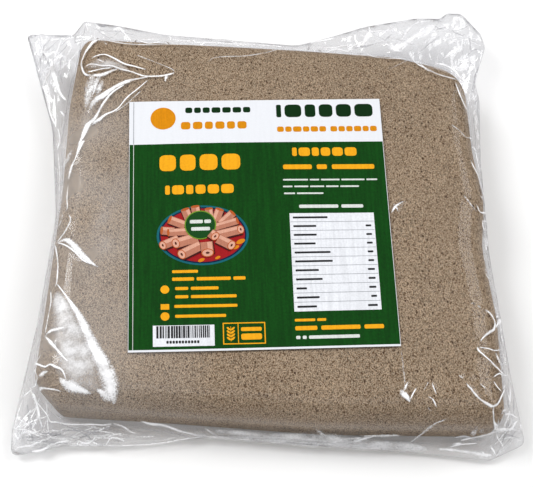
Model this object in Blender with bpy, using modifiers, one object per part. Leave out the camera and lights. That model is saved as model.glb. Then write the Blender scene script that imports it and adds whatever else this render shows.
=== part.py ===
"""A clear, sealed bag of folded injera flatbread with a paper label stuck on its upper face.

The bag lies flat. The origin is the middle of the underside, +Z is up, and the
label reads upright from -Y. The bag is one solid, bread and film together: a
cushion the size of the folded bread, with the loose film that stands out round it.
"""

import math

import bmesh
import bpy
from mathutils import Vector

MM = 0.001

# Folded bread: five rounds of about 0.56 m, sides folded in to a square block.
TOP_HEIGHT = 49.5 * MM  # upper face at the rim of the block
CROWN = 2.0 * MM  # how much the middle stands above the rim
SWELL = 0.7 * MM  # soft unevenness of the upper face
SWELL_LENGTH_X = 190 * MM
SWELL_LENGTH_Y = 230 * MM

# Plan of the bread: corners of the block as (x, y, corner radius) in millimetres.
BREAD_CORNERS = (
    (-122, 137, 16),
    (20, 126, 160),
    (92, 120, 60),
    (142, 106, 30),
    (141, 40, 90),
    (145, 4, 60),
    (140, -30, 60),
    (144, -78, 60),
    (140, -143, 14),
    (30, -145, 120),
    (-60, -135, 80),
    (-132, -133, 9),
    (-147, -112, 10),
    (-133, 15, 200),
)

# Plan of the film's outer edge: (x, y, height of the edge, corner radius) in millimetres.
FILM_CORNERS = (
    (-161.7, 148.7, 20, 3),  # loose corner of the bag behind the left side
    (-131, 148, 24, 3),
    (-121, 157.5, 30, 4),
    (-60, 146, 26, 60),
    (25, 137, 24, 40),
    (70, 151, 26, 30),
    (122, 158.5, 28, 10),
    (144, 163.9, 28, 8),
    (160.2, 152, 26, 9),
    (162.0, 136, 24, 8),
    (151.2, 111.5, 20, 6),
    (154.5, 92, 16, 10),
    (149.5, 45, 14, 60),
    (148, -25, 12, 60),
    (153, -105, 9, 60),
    (157.5, -152, 7, 6),
    (134, -163.4, 5, 5),
    (100, -156, 4, 10),
    (60, -155.5, 4, 40),
    (-38, -142.5, 5, 40),
    (-90, -149, 5, 40),
    (-130, -145, 6, 20),
    (-161.7, -153.5, 7, 5),
    (-161.5, -134, 8, 10),
    (-148, -66, 11, 60),
    (-137, 8, 14, 60),
    (-142, 72, 16, 60),
)
EDGE_THICK = 1.2 * MM  # both films at the outer edge, with the air between them
RING_POINTS = 150  # points round each section of the bag
ARC_STEP = math.radians(12)

# Sections of the upper side: distance in from the bread's plan, share of the height.
RIM_STEPS = (
    (0.5 * MM, 0.52),
    (1.2 * MM, 0.70),
    (3.5 * MM, 0.84),
    (8.0 * MM, 0.935),
    (15.0 * MM, 0.985),
)
TOP_RINGS = (0.80, 0.66, 0.52, 0.38, 0.24, 0.10)  # shares of the bread's radius
FILM_SAG = 0.62  # how far the loose film has dropped half way out to its edge

# Sections of the underside: distance in from the bread's plan, height.
UNDER_STEPS = (
    (2.5 * MM, 9.0 * MM),
    (6.0 * MM, 2.5 * MM),
    (12.0 * MM, 0.0),
)
BASE_RING = 0.5  # share of the bread's radius, on the flat underside

# Paper label on the upper face.
LABEL_WIDTH = 165 * MM
LABEL_DEPTH = 173 * MM
LABEL_MIDDLE = Vector((-5.5 * MM, -14.0 * MM))
LABEL_THICK = 0.4 * MM
LABEL_GAP = 0.35 * MM  # clearance between the bag and the label
LABEL_CELL = 12 * MM

BAG_COLOUR = (0.42, 0.34, 0.26, 1.0)
LABEL_COLOUR = (0.02, 0.09, 0.02, 1.0)


def clear_scene():
    for obj in list(bpy.data.objects):
        bpy.data.objects.remove(obj, do_unlink=True)


def new_collection(name):
    collection = bpy.data.collections.new(name)
    bpy.context.scene.collection.children.link(collection)
    return collection


def principled(name, colour, roughness, metallic=0.0):
    material = bpy.data.materials.new(name)
    material.use_nodes = True
    shader = material.node_tree.nodes["Principled BSDF"]
    shader.inputs["Base Color"].default_value = colour
    shader.inputs["Roughness"].default_value = roughness
    shader.inputs["Metallic"].default_value = metallic
    return material


def rounded_outline(corners):
    """Points of a closed outline whose corners, (position, radius), are rounded by arcs."""
    outline = []
    count = len(corners)
    for index, (corner, radius) in enumerate(corners):
        before = corners[index - 1][0]
        after = corners[(index + 1) % count][0]
        toward_before = (before - corner).xy.normalized()
        toward_after = (after - corner).xy.normalized()
        half_angle = toward_before.angle(toward_after) / 2
        room = 0.45 * min((before - corner).xy.length, (after - corner).xy.length)
        reach = min(radius / math.tan(half_angle), room)
        turn = math.pi - 2 * half_angle
        steps = max(2, math.ceil(turn / ARC_STEP))
        start = corner.lerp(before, reach / (before - corner).xy.length)
        end = corner.lerp(after, reach / (after - corner).xy.length)
        for step in range(steps + 1):
            share = step / steps
            first = start.lerp(corner, share)
            second = corner.lerp(end, share)
            outline.append(first.lerp(second, share))
    return outline


def spaced_round(outline, count):
    """Points spaced evenly along a closed outline."""
    lengths = [(outline[i] - outline[i - 1]).length for i in range(len(outline))]
    spacing = sum(lengths) / count
    points = []
    travelled = 0.0
    for index, length in enumerate(lengths):
        while len(points) * spacing < travelled + length and len(points) < count:
            share = (len(points) * spacing - travelled) / length
            points.append(outline[index - 1].lerp(outline[index], share))
        travelled += length
    return points


def distance_to(outline, direction):
    """How far a ray from the origin runs in this direction before it meets the outline."""
    for index, corner in enumerate(outline):
        start = outline[index - 1].xy
        along = corner.xy - start
        cross = direction.x * along.y - direction.y * along.x
        if abs(cross) < 1e-12:
            continue
        reach = (start.x * along.y - start.y * along.x) / cross
        share = (start.x * direction.y - start.y * direction.x) / cross
        if reach > 0 and -1e-6 <= share <= 1 + 1e-6:
            return reach
    raise ValueError("the outline isn't closed round the origin")


def bread_outline():
    return rounded_outline([(Vector((x, y, 0)) * MM, radius * MM) for x, y, radius in BREAD_CORNERS])


def film_outline():
    return rounded_outline([(Vector((x, y, z)) * MM, radius * MM) for x, y, z, radius in FILM_CORNERS])


def top_height(x, y, share):
    """Height of the upper face at a point that lies this share of the way out to the rim."""
    wave = math.cos(math.tau * x / SWELL_LENGTH_X + 0.6) * math.cos(math.tau * y / SWELL_LENGTH_Y - 0.4)
    return TOP_HEIGHT + (CROWN + SWELL * wave) * (1 - share * share)


def bag_sections():
    """The bag's sections from the flat underside, out to the film's edge and over the top."""
    edge = spaced_round(film_outline(), RING_POINTS)
    bread = bread_outline()
    rays = [point.xy.normalized() for point in edge]
    reach = [distance_to(bread, ray) for ray in rays]

    def section(distances, heights):
        return [Vector((ray.x * d, ray.y * d, z)) for ray, d, z in zip(rays, distances, heights)]

    def level(height):
        return [height] * RING_POINTS

    sections = [section([BASE_RING * r for r in reach], level(0.0))]
    for inset, height in reversed(UNDER_STEPS):
        sections.append(section([r - inset for r in reach], level(height)))

    side = [r - RIM_STEPS[0][0] for r in reach]
    low_side = [r - UNDER_STEPS[0][0] for r in reach]
    side_height = RIM_STEPS[0][1] * TOP_HEIGHT
    half_way = [(a + point.xy.length) / 2 for a, point in zip(side, edge)]
    under_half = [(a + point.xy.length) / 2 for a, point in zip(low_side, edge)]
    edge_heights = [point.z for point in edge]
    under_heights = [UNDER_STEPS[0][1] * 0.5 + (z - EDGE_THICK) * 0.5 for z in edge_heights]
    upper_heights = [side_height + (z + EDGE_THICK - side_height) * FILM_SAG for z in edge_heights]
    sections.append(section(under_half, under_heights))
    sections.append(section([p.xy.length for p in edge], [z - EDGE_THICK / 2 for z in edge_heights]))
    sections.append(section([p.xy.length for p in edge], [z + EDGE_THICK / 2 for z in edge_heights]))
    sections.append(section(half_way, upper_heights))

    for inset, share in RIM_STEPS:
        sections.append(section([r - inset for r in reach], level(share * TOP_HEIGHT)))
    for share in TOP_RINGS:
        distances = [share * r for r in reach]
        heights = [top_height(ray.x * d, ray.y * d, share) for ray, d in zip(rays, distances)]
        sections.append(section(distances, heights))
    return sections


def loft(name, sections, collection, material):
    """A closed solid through the sections, with a fan over the first and the last."""
    mesh = bpy.data.meshes.new(name)
    shape = bmesh.new()
    rings = []
    for points in sections:
        corners = [shape.verts.new(point) for point in points]
        ring = [shape.edges.new((corners[i - 1], corners[i])) for i in range(len(corners))]
        rings.append((corners, ring))
    for (_, lower), (_, upper) in zip(rings, rings[1:]):
        bmesh.ops.bridge_loops(shape, edges=lower + upper)
    for corners, _ in (rings[0], rings[-1]):
        cap = shape.faces.new(corners)
        bmesh.ops.poke(shape, faces=[cap])
    bmesh.ops.recalc_face_normals(shape, faces=shape.faces)
    shape.to_mesh(mesh)
    shape.free()
    mesh.materials.append(material)
    mesh.shade_smooth()
    obj = bpy.data.objects.new(name, mesh)
    collection.objects.link(obj)
    return obj


def make_bag(collection):
    return loft("bag", bag_sections(), collection, principled("clear_bag", BAG_COLOUR, 0.25))


def make_label(collection):
    """A thin sheet that follows the crown of the bag."""
    bread = bread_outline()
    shape = bmesh.new()
    bmesh.ops.create_grid(
        shape,
        x_segments=round(LABEL_WIDTH / LABEL_CELL),
        y_segments=round(LABEL_DEPTH / LABEL_CELL),
        size=0.5,
    )
    for vertex in shape.verts:
        x = vertex.co.x * LABEL_WIDTH + LABEL_MIDDLE.x
        y = vertex.co.y * LABEL_DEPTH + LABEL_MIDDLE.y
        flat = Vector((x, y))
        share = flat.length / distance_to(bread, flat.normalized()) if flat.length > 1e-9 else 0.0
        vertex.co = Vector((x, y, top_height(x, y, share) + LABEL_GAP))
    mesh = bpy.data.meshes.new("label")
    shape.to_mesh(mesh)
    shape.free()
    mesh.materials.append(principled("label_paper", LABEL_COLOUR, 0.5))
    mesh.shade_smooth()
    obj = bpy.data.objects.new("label", mesh)
    collection.objects.link(obj)
    paper = obj.modifiers.new("paper", "SOLIDIFY")
    paper.thickness = LABEL_THICK
    paper.offset = 1.0
    return obj


def main():
    clear_scene()
    collection = new_collection("bag_of_injera")
    make_bag(collection)
    make_label(collection)


main()
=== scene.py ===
# %% [markdown]
# # A clear bag of folded injera
# Injera is a soft, spongy flatbread. Here several rounds are folded into one square
# block and sealed in a thin clear bag, with a printed paper label stuck on the bag.
# The bread, the film and the label are three very different surfaces, so each is a
# piece of its own. This first cell loads the measured solid that all of them must fit.

import math

import bmesh
import bpy
import numpy as np
from mathutils import Matrix, Vector, noise
from mathutils.bvhtree import BVHTree


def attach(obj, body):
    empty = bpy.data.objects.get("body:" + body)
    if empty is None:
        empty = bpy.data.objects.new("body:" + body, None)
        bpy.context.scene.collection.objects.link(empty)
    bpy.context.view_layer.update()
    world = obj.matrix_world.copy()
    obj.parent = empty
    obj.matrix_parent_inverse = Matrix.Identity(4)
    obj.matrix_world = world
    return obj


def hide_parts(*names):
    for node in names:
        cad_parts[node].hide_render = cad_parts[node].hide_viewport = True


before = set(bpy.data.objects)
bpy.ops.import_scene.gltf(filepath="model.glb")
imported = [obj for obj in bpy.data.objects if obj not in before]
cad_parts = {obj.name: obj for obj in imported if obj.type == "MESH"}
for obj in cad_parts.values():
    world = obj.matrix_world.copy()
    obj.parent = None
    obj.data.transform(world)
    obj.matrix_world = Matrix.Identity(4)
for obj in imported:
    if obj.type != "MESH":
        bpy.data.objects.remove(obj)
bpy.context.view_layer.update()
MM = 0.001

# %% [markdown]
# ## Two outlines seen from above
# The block of bread and the bag round it are both squares with soft corners. Each is
# written as a few corners with a radius, going clockwise from the back left. The first,
# and then each corner marked True, is where one side of the square ends and the next
# begins, so that both outlines can be laid over the same square grid later.

# %% Outlines of the bread and the bag
BREAD_CORNERS = [  # x, y, radius in millimetres, and True where a side begins
    (-123, 133, 14, True),
    (20, 122.7, 160, False),
    (92, 115.8, 60, False),
    (141.5, 102, 30, True),
    (141, 40, 90, False),
    (145, 4, 60, False),
    (140, -30, 60, False),
    (144, -78, 60, False),
    (141.5, -148, 14, True),
    (30, -143.5, 120, False),
    (-60, -134, 80, False),
    (-132, -127.5, 9, False),
    (-147, -110, 10, True),
    (-133.5, 15, 200, False),
    (-130.5, 80, 120, False),
]
BAG_CORNERS = [  # x, y, height, radius in millimetres, and True where a side begins
    (-161.7, 146, 20, 3, True),
    (-128.5, 142.5, 24, 3, False),
    (-121, 150, 30, 3, False),
    (-98, 147.3, 28, 30, False),
    (-66, 141, 26, 60, False),
    (27, 132, 24, 30, False),
    (54, 139.3, 25, 30, False),
    (76, 146, 26, 20, False),
    (112, 151.3, 28, 30, False),
    (129, 150.8, 28, 3, False),
    (135, 155.4, 28, 4, False),
    (145, 155, 28, 6, False),
    (151, 147, 27, 3, True),
    (157.5, 139, 26, 8, False),
    (160.2, 129, 24, 8, False),
    (155.5, 118, 22, 8, False),
    (150.2, 107, 20, 5, False),
    (153.5, 91, 16, 6, False),
    (149.5, 45, 14, 60, False),
    (148, -25, 12, 60, False),
    (153, -105, 9, 60, False),
    (157.5, -152, 7, 6, True),
    (134, -161.5, 5, 5, False),
    (100, -156.5, 4, 10, False),
    (60, -152, 4, 40, False),
    (0, -146.5, 4, 40, False),
    (-38, -141.5, 5, 40, False),
    (-90, -145.5, 5, 40, False),
    (-130, -145, 6, 20, False),
    (-161.7, -151, 7, 5, True),
    (-161.5, -134, 8, 10, False),
    (-148, -66, 11, 60, False),
    (-138, 8, 14, 60, False),
    (-142, 72, 16, 60, False),
]


def soft_outline(corners):
    """The outline with its corners rounded, as four runs of points, one for each side."""
    points = [np.array(corner[:-2], float) for corner in corners]
    sides = []
    for i, corner in enumerate(corners):
        here = points[i]
        before = points[i - 1]
        after = points[(i + 1) % len(points)]
        back = (before - here)[:2]
        ahead = (after - here)[:2]
        cosine = back @ ahead / np.linalg.norm(back) / np.linalg.norm(ahead)
        half = math.acos(max(-1.0, min(1.0, cosine))) / 2
        room = 0.45 * min(np.linalg.norm(back), np.linalg.norm(ahead))
        reach = min(corner[-2] / math.tan(half), room)
        start = here + (before - here) * reach / np.linalg.norm(back)
        end = here + (after - here) * reach / np.linalg.norm(ahead)
        arc = []
        for share in np.linspace(0, 1, 13):
            first = start + (here - start) * share
            second = here + (end - here) * share
            arc.append(first + (second - first) * share)
        if corner[-1]:
            if sides:
                sides[-1] += arc[:7]
            else:
                opening = arc[:7]
            sides.append(arc[6:])
        else:
            sides[-1] += arc
    sides[-1] += opening
    return [np.array(side) * MM for side in sides]


bread_sides = soft_outline(BREAD_CORNERS)
bag_sides = soft_outline(BAG_CORNERS)
print("points on the bread's outline:", sum(len(side) for side in bread_sides))

# %% [markdown]
# ## A square grid laid over a soft square
# Cloth, film and a folded sheet all behave like a grid of threads. The helper below
# takes a point of a flat square, and finds where it lies when the square's four sides
# are bent to follow an outline. This is called a Coons patch. Everything that lies on
# the pack is built this way, because the faces then stay even and run with the edges.

# %% Laying a square over an outline
def along(side, share):
    """The point a given share of the way along a run of points."""
    steps = np.linalg.norm(np.diff(side[:, :2], axis=0), axis=1)
    travelled = np.concatenate([[0], np.cumsum(steps)])
    travelled /= travelled[-1]
    columns = [np.interp(share, travelled, side[:, k]) for k in range(side.shape[1])]
    return np.stack(columns, axis=-1)


def edge_point(sides, x, y):
    """Where the square's edge point in the direction of (x, y) lies on the outline."""
    size = np.maximum(np.maximum(np.abs(x), np.abs(y)), 1e-9)
    u = (x / size + 1) / 2
    v = (y / size + 1) / 2
    back, right, front, left = sides
    place = along(back, u)
    on_right = (np.abs(x) >= np.abs(y)) & (x > 0)
    on_left = (np.abs(x) >= np.abs(y)) & (x <= 0)
    on_front = (np.abs(y) > np.abs(x)) & (y < 0)
    place = np.where(on_right[:, None], along(right, 1 - v), place)
    place = np.where(on_front[:, None], along(front, 1 - u), place)
    return np.where(on_left[:, None], along(left, v), place)


def coons(sides, x, y):
    """Where points of the square from -1 to 1 lie, when its sides follow the outline."""
    u = ((x + 1) / 2)[:, None]
    v = ((y + 1) / 2)[:, None]
    back, right, front, left = sides
    top = along(back, u[:, 0])
    bottom = along(front, 1 - u[:, 0])
    west = along(left, v[:, 0])
    east = along(right, 1 - v[:, 0])
    bend = (1 - v) * bottom + v * top + (1 - u) * west + u * east
    front_corners = (1 - u) * (1 - v) * front[-1] + u * (1 - v) * right[-1]
    return bend - (front_corners + u * v * back[-1] + (1 - u) * v * back[0])


def distance_to_outline(sides, x, y):
    """How far each point is from the outline, below zero inside it."""
    outline = np.concatenate([side[:-1, :2] for side in sides])
    ahead = np.roll(outline, -1, axis=0) - outline
    nearest = np.full(x.shape, 1e9)
    inside = np.zeros(x.shape, bool)
    for start, step in zip(outline, ahead):
        length = step @ step
        if length < 1e-18:
            continue
        px = x - start[0]
        py = y - start[1]
        share = np.clip((px * step[0] + py * step[1]) / length, 0, 1)
        nearest = np.minimum(nearest, np.hypot(px - share * step[0], py - share * step[1]))
        if step[1] != 0:
            crosses = (start[1] > y) != (start[1] + step[1] > y)
            inside ^= crosses & (px < (py / step[1]) * step[0])
    return np.where(inside, -nearest, nearest)


corner_check = coons(bread_sides, np.array([-1.0, 1.0, 0.0]), np.array([1.0, -1.0, 0.0]))
print("two corners and the middle in mm:", (corner_check / MM).round(1).tolist())

# %% [markdown]
# ## The height of the pack
# The block is about 50 mm high with a gently crowned top, and its rim is rounded like
# the edge of a mattress. A superellipse gives that rim: steep at the side, then quickly
# level. The same height serves the bread, the film over it and the label, so nothing
# sinks into anything else.

# %% Height of the upper face
TOP_HEIGHT = 49.5 * MM
CROWN = 2.0 * MM
SWELL = 0.7 * MM  # soft unevenness of the top
SWELL_LENGTH_X = 190 * MM
SWELL_LENGTH_Y = 230 * MM
SIDE_HEIGHT = 25.0 * MM  # height at which the block is widest
RIM_REACH = 21.0 * MM  # how far in the rounding of the rim runs
RIM_POWER = 2.4

polar_angles = np.linspace(-math.pi, math.pi, 721)
bread_loop = np.concatenate([side[:-1] for side in bread_sides])
loop_angles = np.arctan2(bread_loop[:, 1], bread_loop[:, 0])
order = np.argsort(loop_angles)
polar_reach = np.interp(
    polar_angles, loop_angles[order], np.hypot(*bread_loop[order].T[:2]), period=math.tau
)


def crown_height(x, y):
    """Height of the pack's upper face, before its rim is rounded."""
    reach = np.interp(np.arctan2(y, x), polar_angles, polar_reach)
    share = np.clip(np.hypot(x, y) / reach, 0, 1)
    wave = np.cos(math.tau * x / SWELL_LENGTH_X + 0.6) * np.cos(math.tau * y / SWELL_LENGTH_Y - 0.4)
    return TOP_HEIGHT + (CROWN + SWELL * wave) * (1 - share * share)


def rounded_rim(depth):
    """0 at the widest part of the block, 1 where its top is level; depth is measured inwards."""
    share = np.clip(depth / RIM_REACH, 0, 1)
    return (1 - (1 - share) ** RIM_POWER) ** (1 / RIM_POWER)


middle_height = float(crown_height(np.zeros(1), np.zeros(1))[0])
print("height over the middle in mm:", round(middle_height / MM, 1))

# %% [markdown]
# ## Closed shells from two sheets
# The bread and the bag are both closed shells whose widest line runs round the side.
# Each is made like a pillow: two equal square sheets, one laid over the top and one
# under the bottom, joined along their edges. A grid and its copy give the sheets, and
# merging the doubled edge vertices is the seam.

# %% A pillow from two sheets
SEAM_RATIO = 3  # upper cells to each lower one: what the eye doesn't see can be coarser
SEAM_REACH = 2e-6  # metres within which two seam points are one
CROWDING = 6  # how strongly grid lines crowd towards the edges of the square


def pillow(name, under_cells, place):
    """A closed shell; place(x, y, upper) gives the points of one sheet of the square."""
    shell = bmesh.new()
    cells = under_cells * SEAM_RATIO
    bmesh.ops.create_grid(shell, x_segments=under_cells, y_segments=under_cells, size=1)
    bmesh.ops.reverse_faces(shell, faces=shell.faces[:])
    rim = [edge for edge in shell.edges if edge.is_boundary]
    bmesh.ops.subdivide_edges(shell, edges=rim, cuts=SEAM_RATIO - 1)
    under = shell.verts[:]
    over = bmesh.ops.create_grid(shell, x_segments=cells, y_segments=cells, size=1)["verts"]
    for sheet, upper in ((over, True), (under, False)):
        flat = np.array([vertex.co for vertex in sheet])
        for vertex, point in zip(sheet, place(flat[:, 0], flat[:, 1], upper)):
            vertex.co = point
    seam = [vertex for vertex in shell.verts if vertex.is_boundary]
    bmesh.ops.remove_doubles(shell, verts=seam, dist=SEAM_REACH)
    open_edges = sum(edge.is_boundary for edge in shell.edges)
    mesh = bpy.data.meshes.new(name)
    shell.to_mesh(mesh)
    shell.free()
    mesh.shade_smooth()
    piece = bpy.data.objects.new(name, mesh)
    bpy.context.scene.collection.objects.link(piece)
    print(name, "faces:", len(mesh.polygons), "open edges:", open_edges)
    return piece


def crowd_to_edge(value):
    """Moves grid lines towards the edges of the square, where the shape turns fastest."""
    size = np.abs(value)
    return np.sign(value) * (1 - (1 - size) * (1 - size ** CROWDING * 0.85))


# %% [markdown]
# ## The folded bread
# Injera folds softly, so the top of the block has no sharp edge. Its own weight presses
# the lower rim flat, so the side stands nearly straight on the floor. A few folds inside
# press through and make the top faintly uneven.

# %% The block of bread
FILM_GAP = 1.0 * MM
SPONGE_LUMP = 0.22 * MM
SPONGE_SCALE = 420  # lumps in a metre
SLUMP = 12.0  # how much tighter the lower rim is rounded than the upper: the block slumps


def offset_inward(sides, gap):
    """The same outline, a little smaller all round."""
    loop = np.concatenate([side[:-1] for side in sides])
    towards = np.roll(loop, -1, axis=0) - np.roll(loop, 1, axis=0)
    inward = np.stack([towards[:, 1], -towards[:, 0]], axis=1)
    inward /= np.maximum(np.linalg.norm(inward, axis=1), 1e-12)[:, None]
    moved = loop + inward * gap
    runs = []
    start = 0
    for side in sides:
        stop = start + len(side) - 1
        runs.append(np.concatenate([moved[start:stop], moved[stop % len(moved)][None]]))
        start = stop
    return runs


def clean_side(side):
    """A run of points without the doubled ones."""
    steps = np.linalg.norm(np.diff(side[:, :2], axis=0), axis=1)
    return side[np.concatenate([[True], steps > 1e-7])]


bread_sides = [clean_side(side) for side in bread_sides]
bag_sides = [clean_side(side) for side in bag_sides]
inner_sides = offset_inward(bread_sides, FILM_GAP)


WAVES = 7  # waves that add up to the soft lumps


def soft_lumps(x, y, size, seed):
    """A smooth, random-looking swell between -1 and 1."""
    dice = np.random.RandomState(seed)
    total = np.zeros_like(x)
    for _ in range(WAVES):
        turn = dice.uniform(0, math.tau)
        wave = math.tau / size * dice.uniform(0.7, 1.4)
        along_wave = x * math.cos(turn) + y * math.sin(turn)
        total += np.cos(wave * along_wave + dice.uniform(0, math.tau))
    return total / WAVES


def place_bread(x, y, upper):
    flat = coons(inner_sides, crowd_to_edge(x), crowd_to_edge(y))
    px = flat[:, 0]
    py = flat[:, 1]
    depth = np.maximum(-distance_to_outline(inner_sides, px, py), 0)
    depth[np.maximum(np.abs(x), np.abs(y)) > 1 - 1e-9] = 0
    rise = rounded_rim(depth)
    if upper:
        swell = 0.3 * MM * soft_lumps(px, py, 60 * MM, 3)
        top = crown_height(px, py) - FILM_GAP - SPONGE_LUMP + swell
        sponge = np.array([noise.noise(Vector((a, b, 0)) * SPONGE_SCALE) for a, b in zip(px, py)])
        z = SIDE_HEIGHT + (top + SPONGE_LUMP * sponge - SIDE_HEIGHT) * rise
    else:
        z = SIDE_HEIGHT + (1.0 * MM - SIDE_HEIGHT) * rounded_rim(depth * SLUMP)
    return np.stack([px, py, z], axis=1)


BREAD_CELLS = 90
bread = pillow("injera", BREAD_CELLS, place_bread)
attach(bread, "root")
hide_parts("bag")
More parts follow.
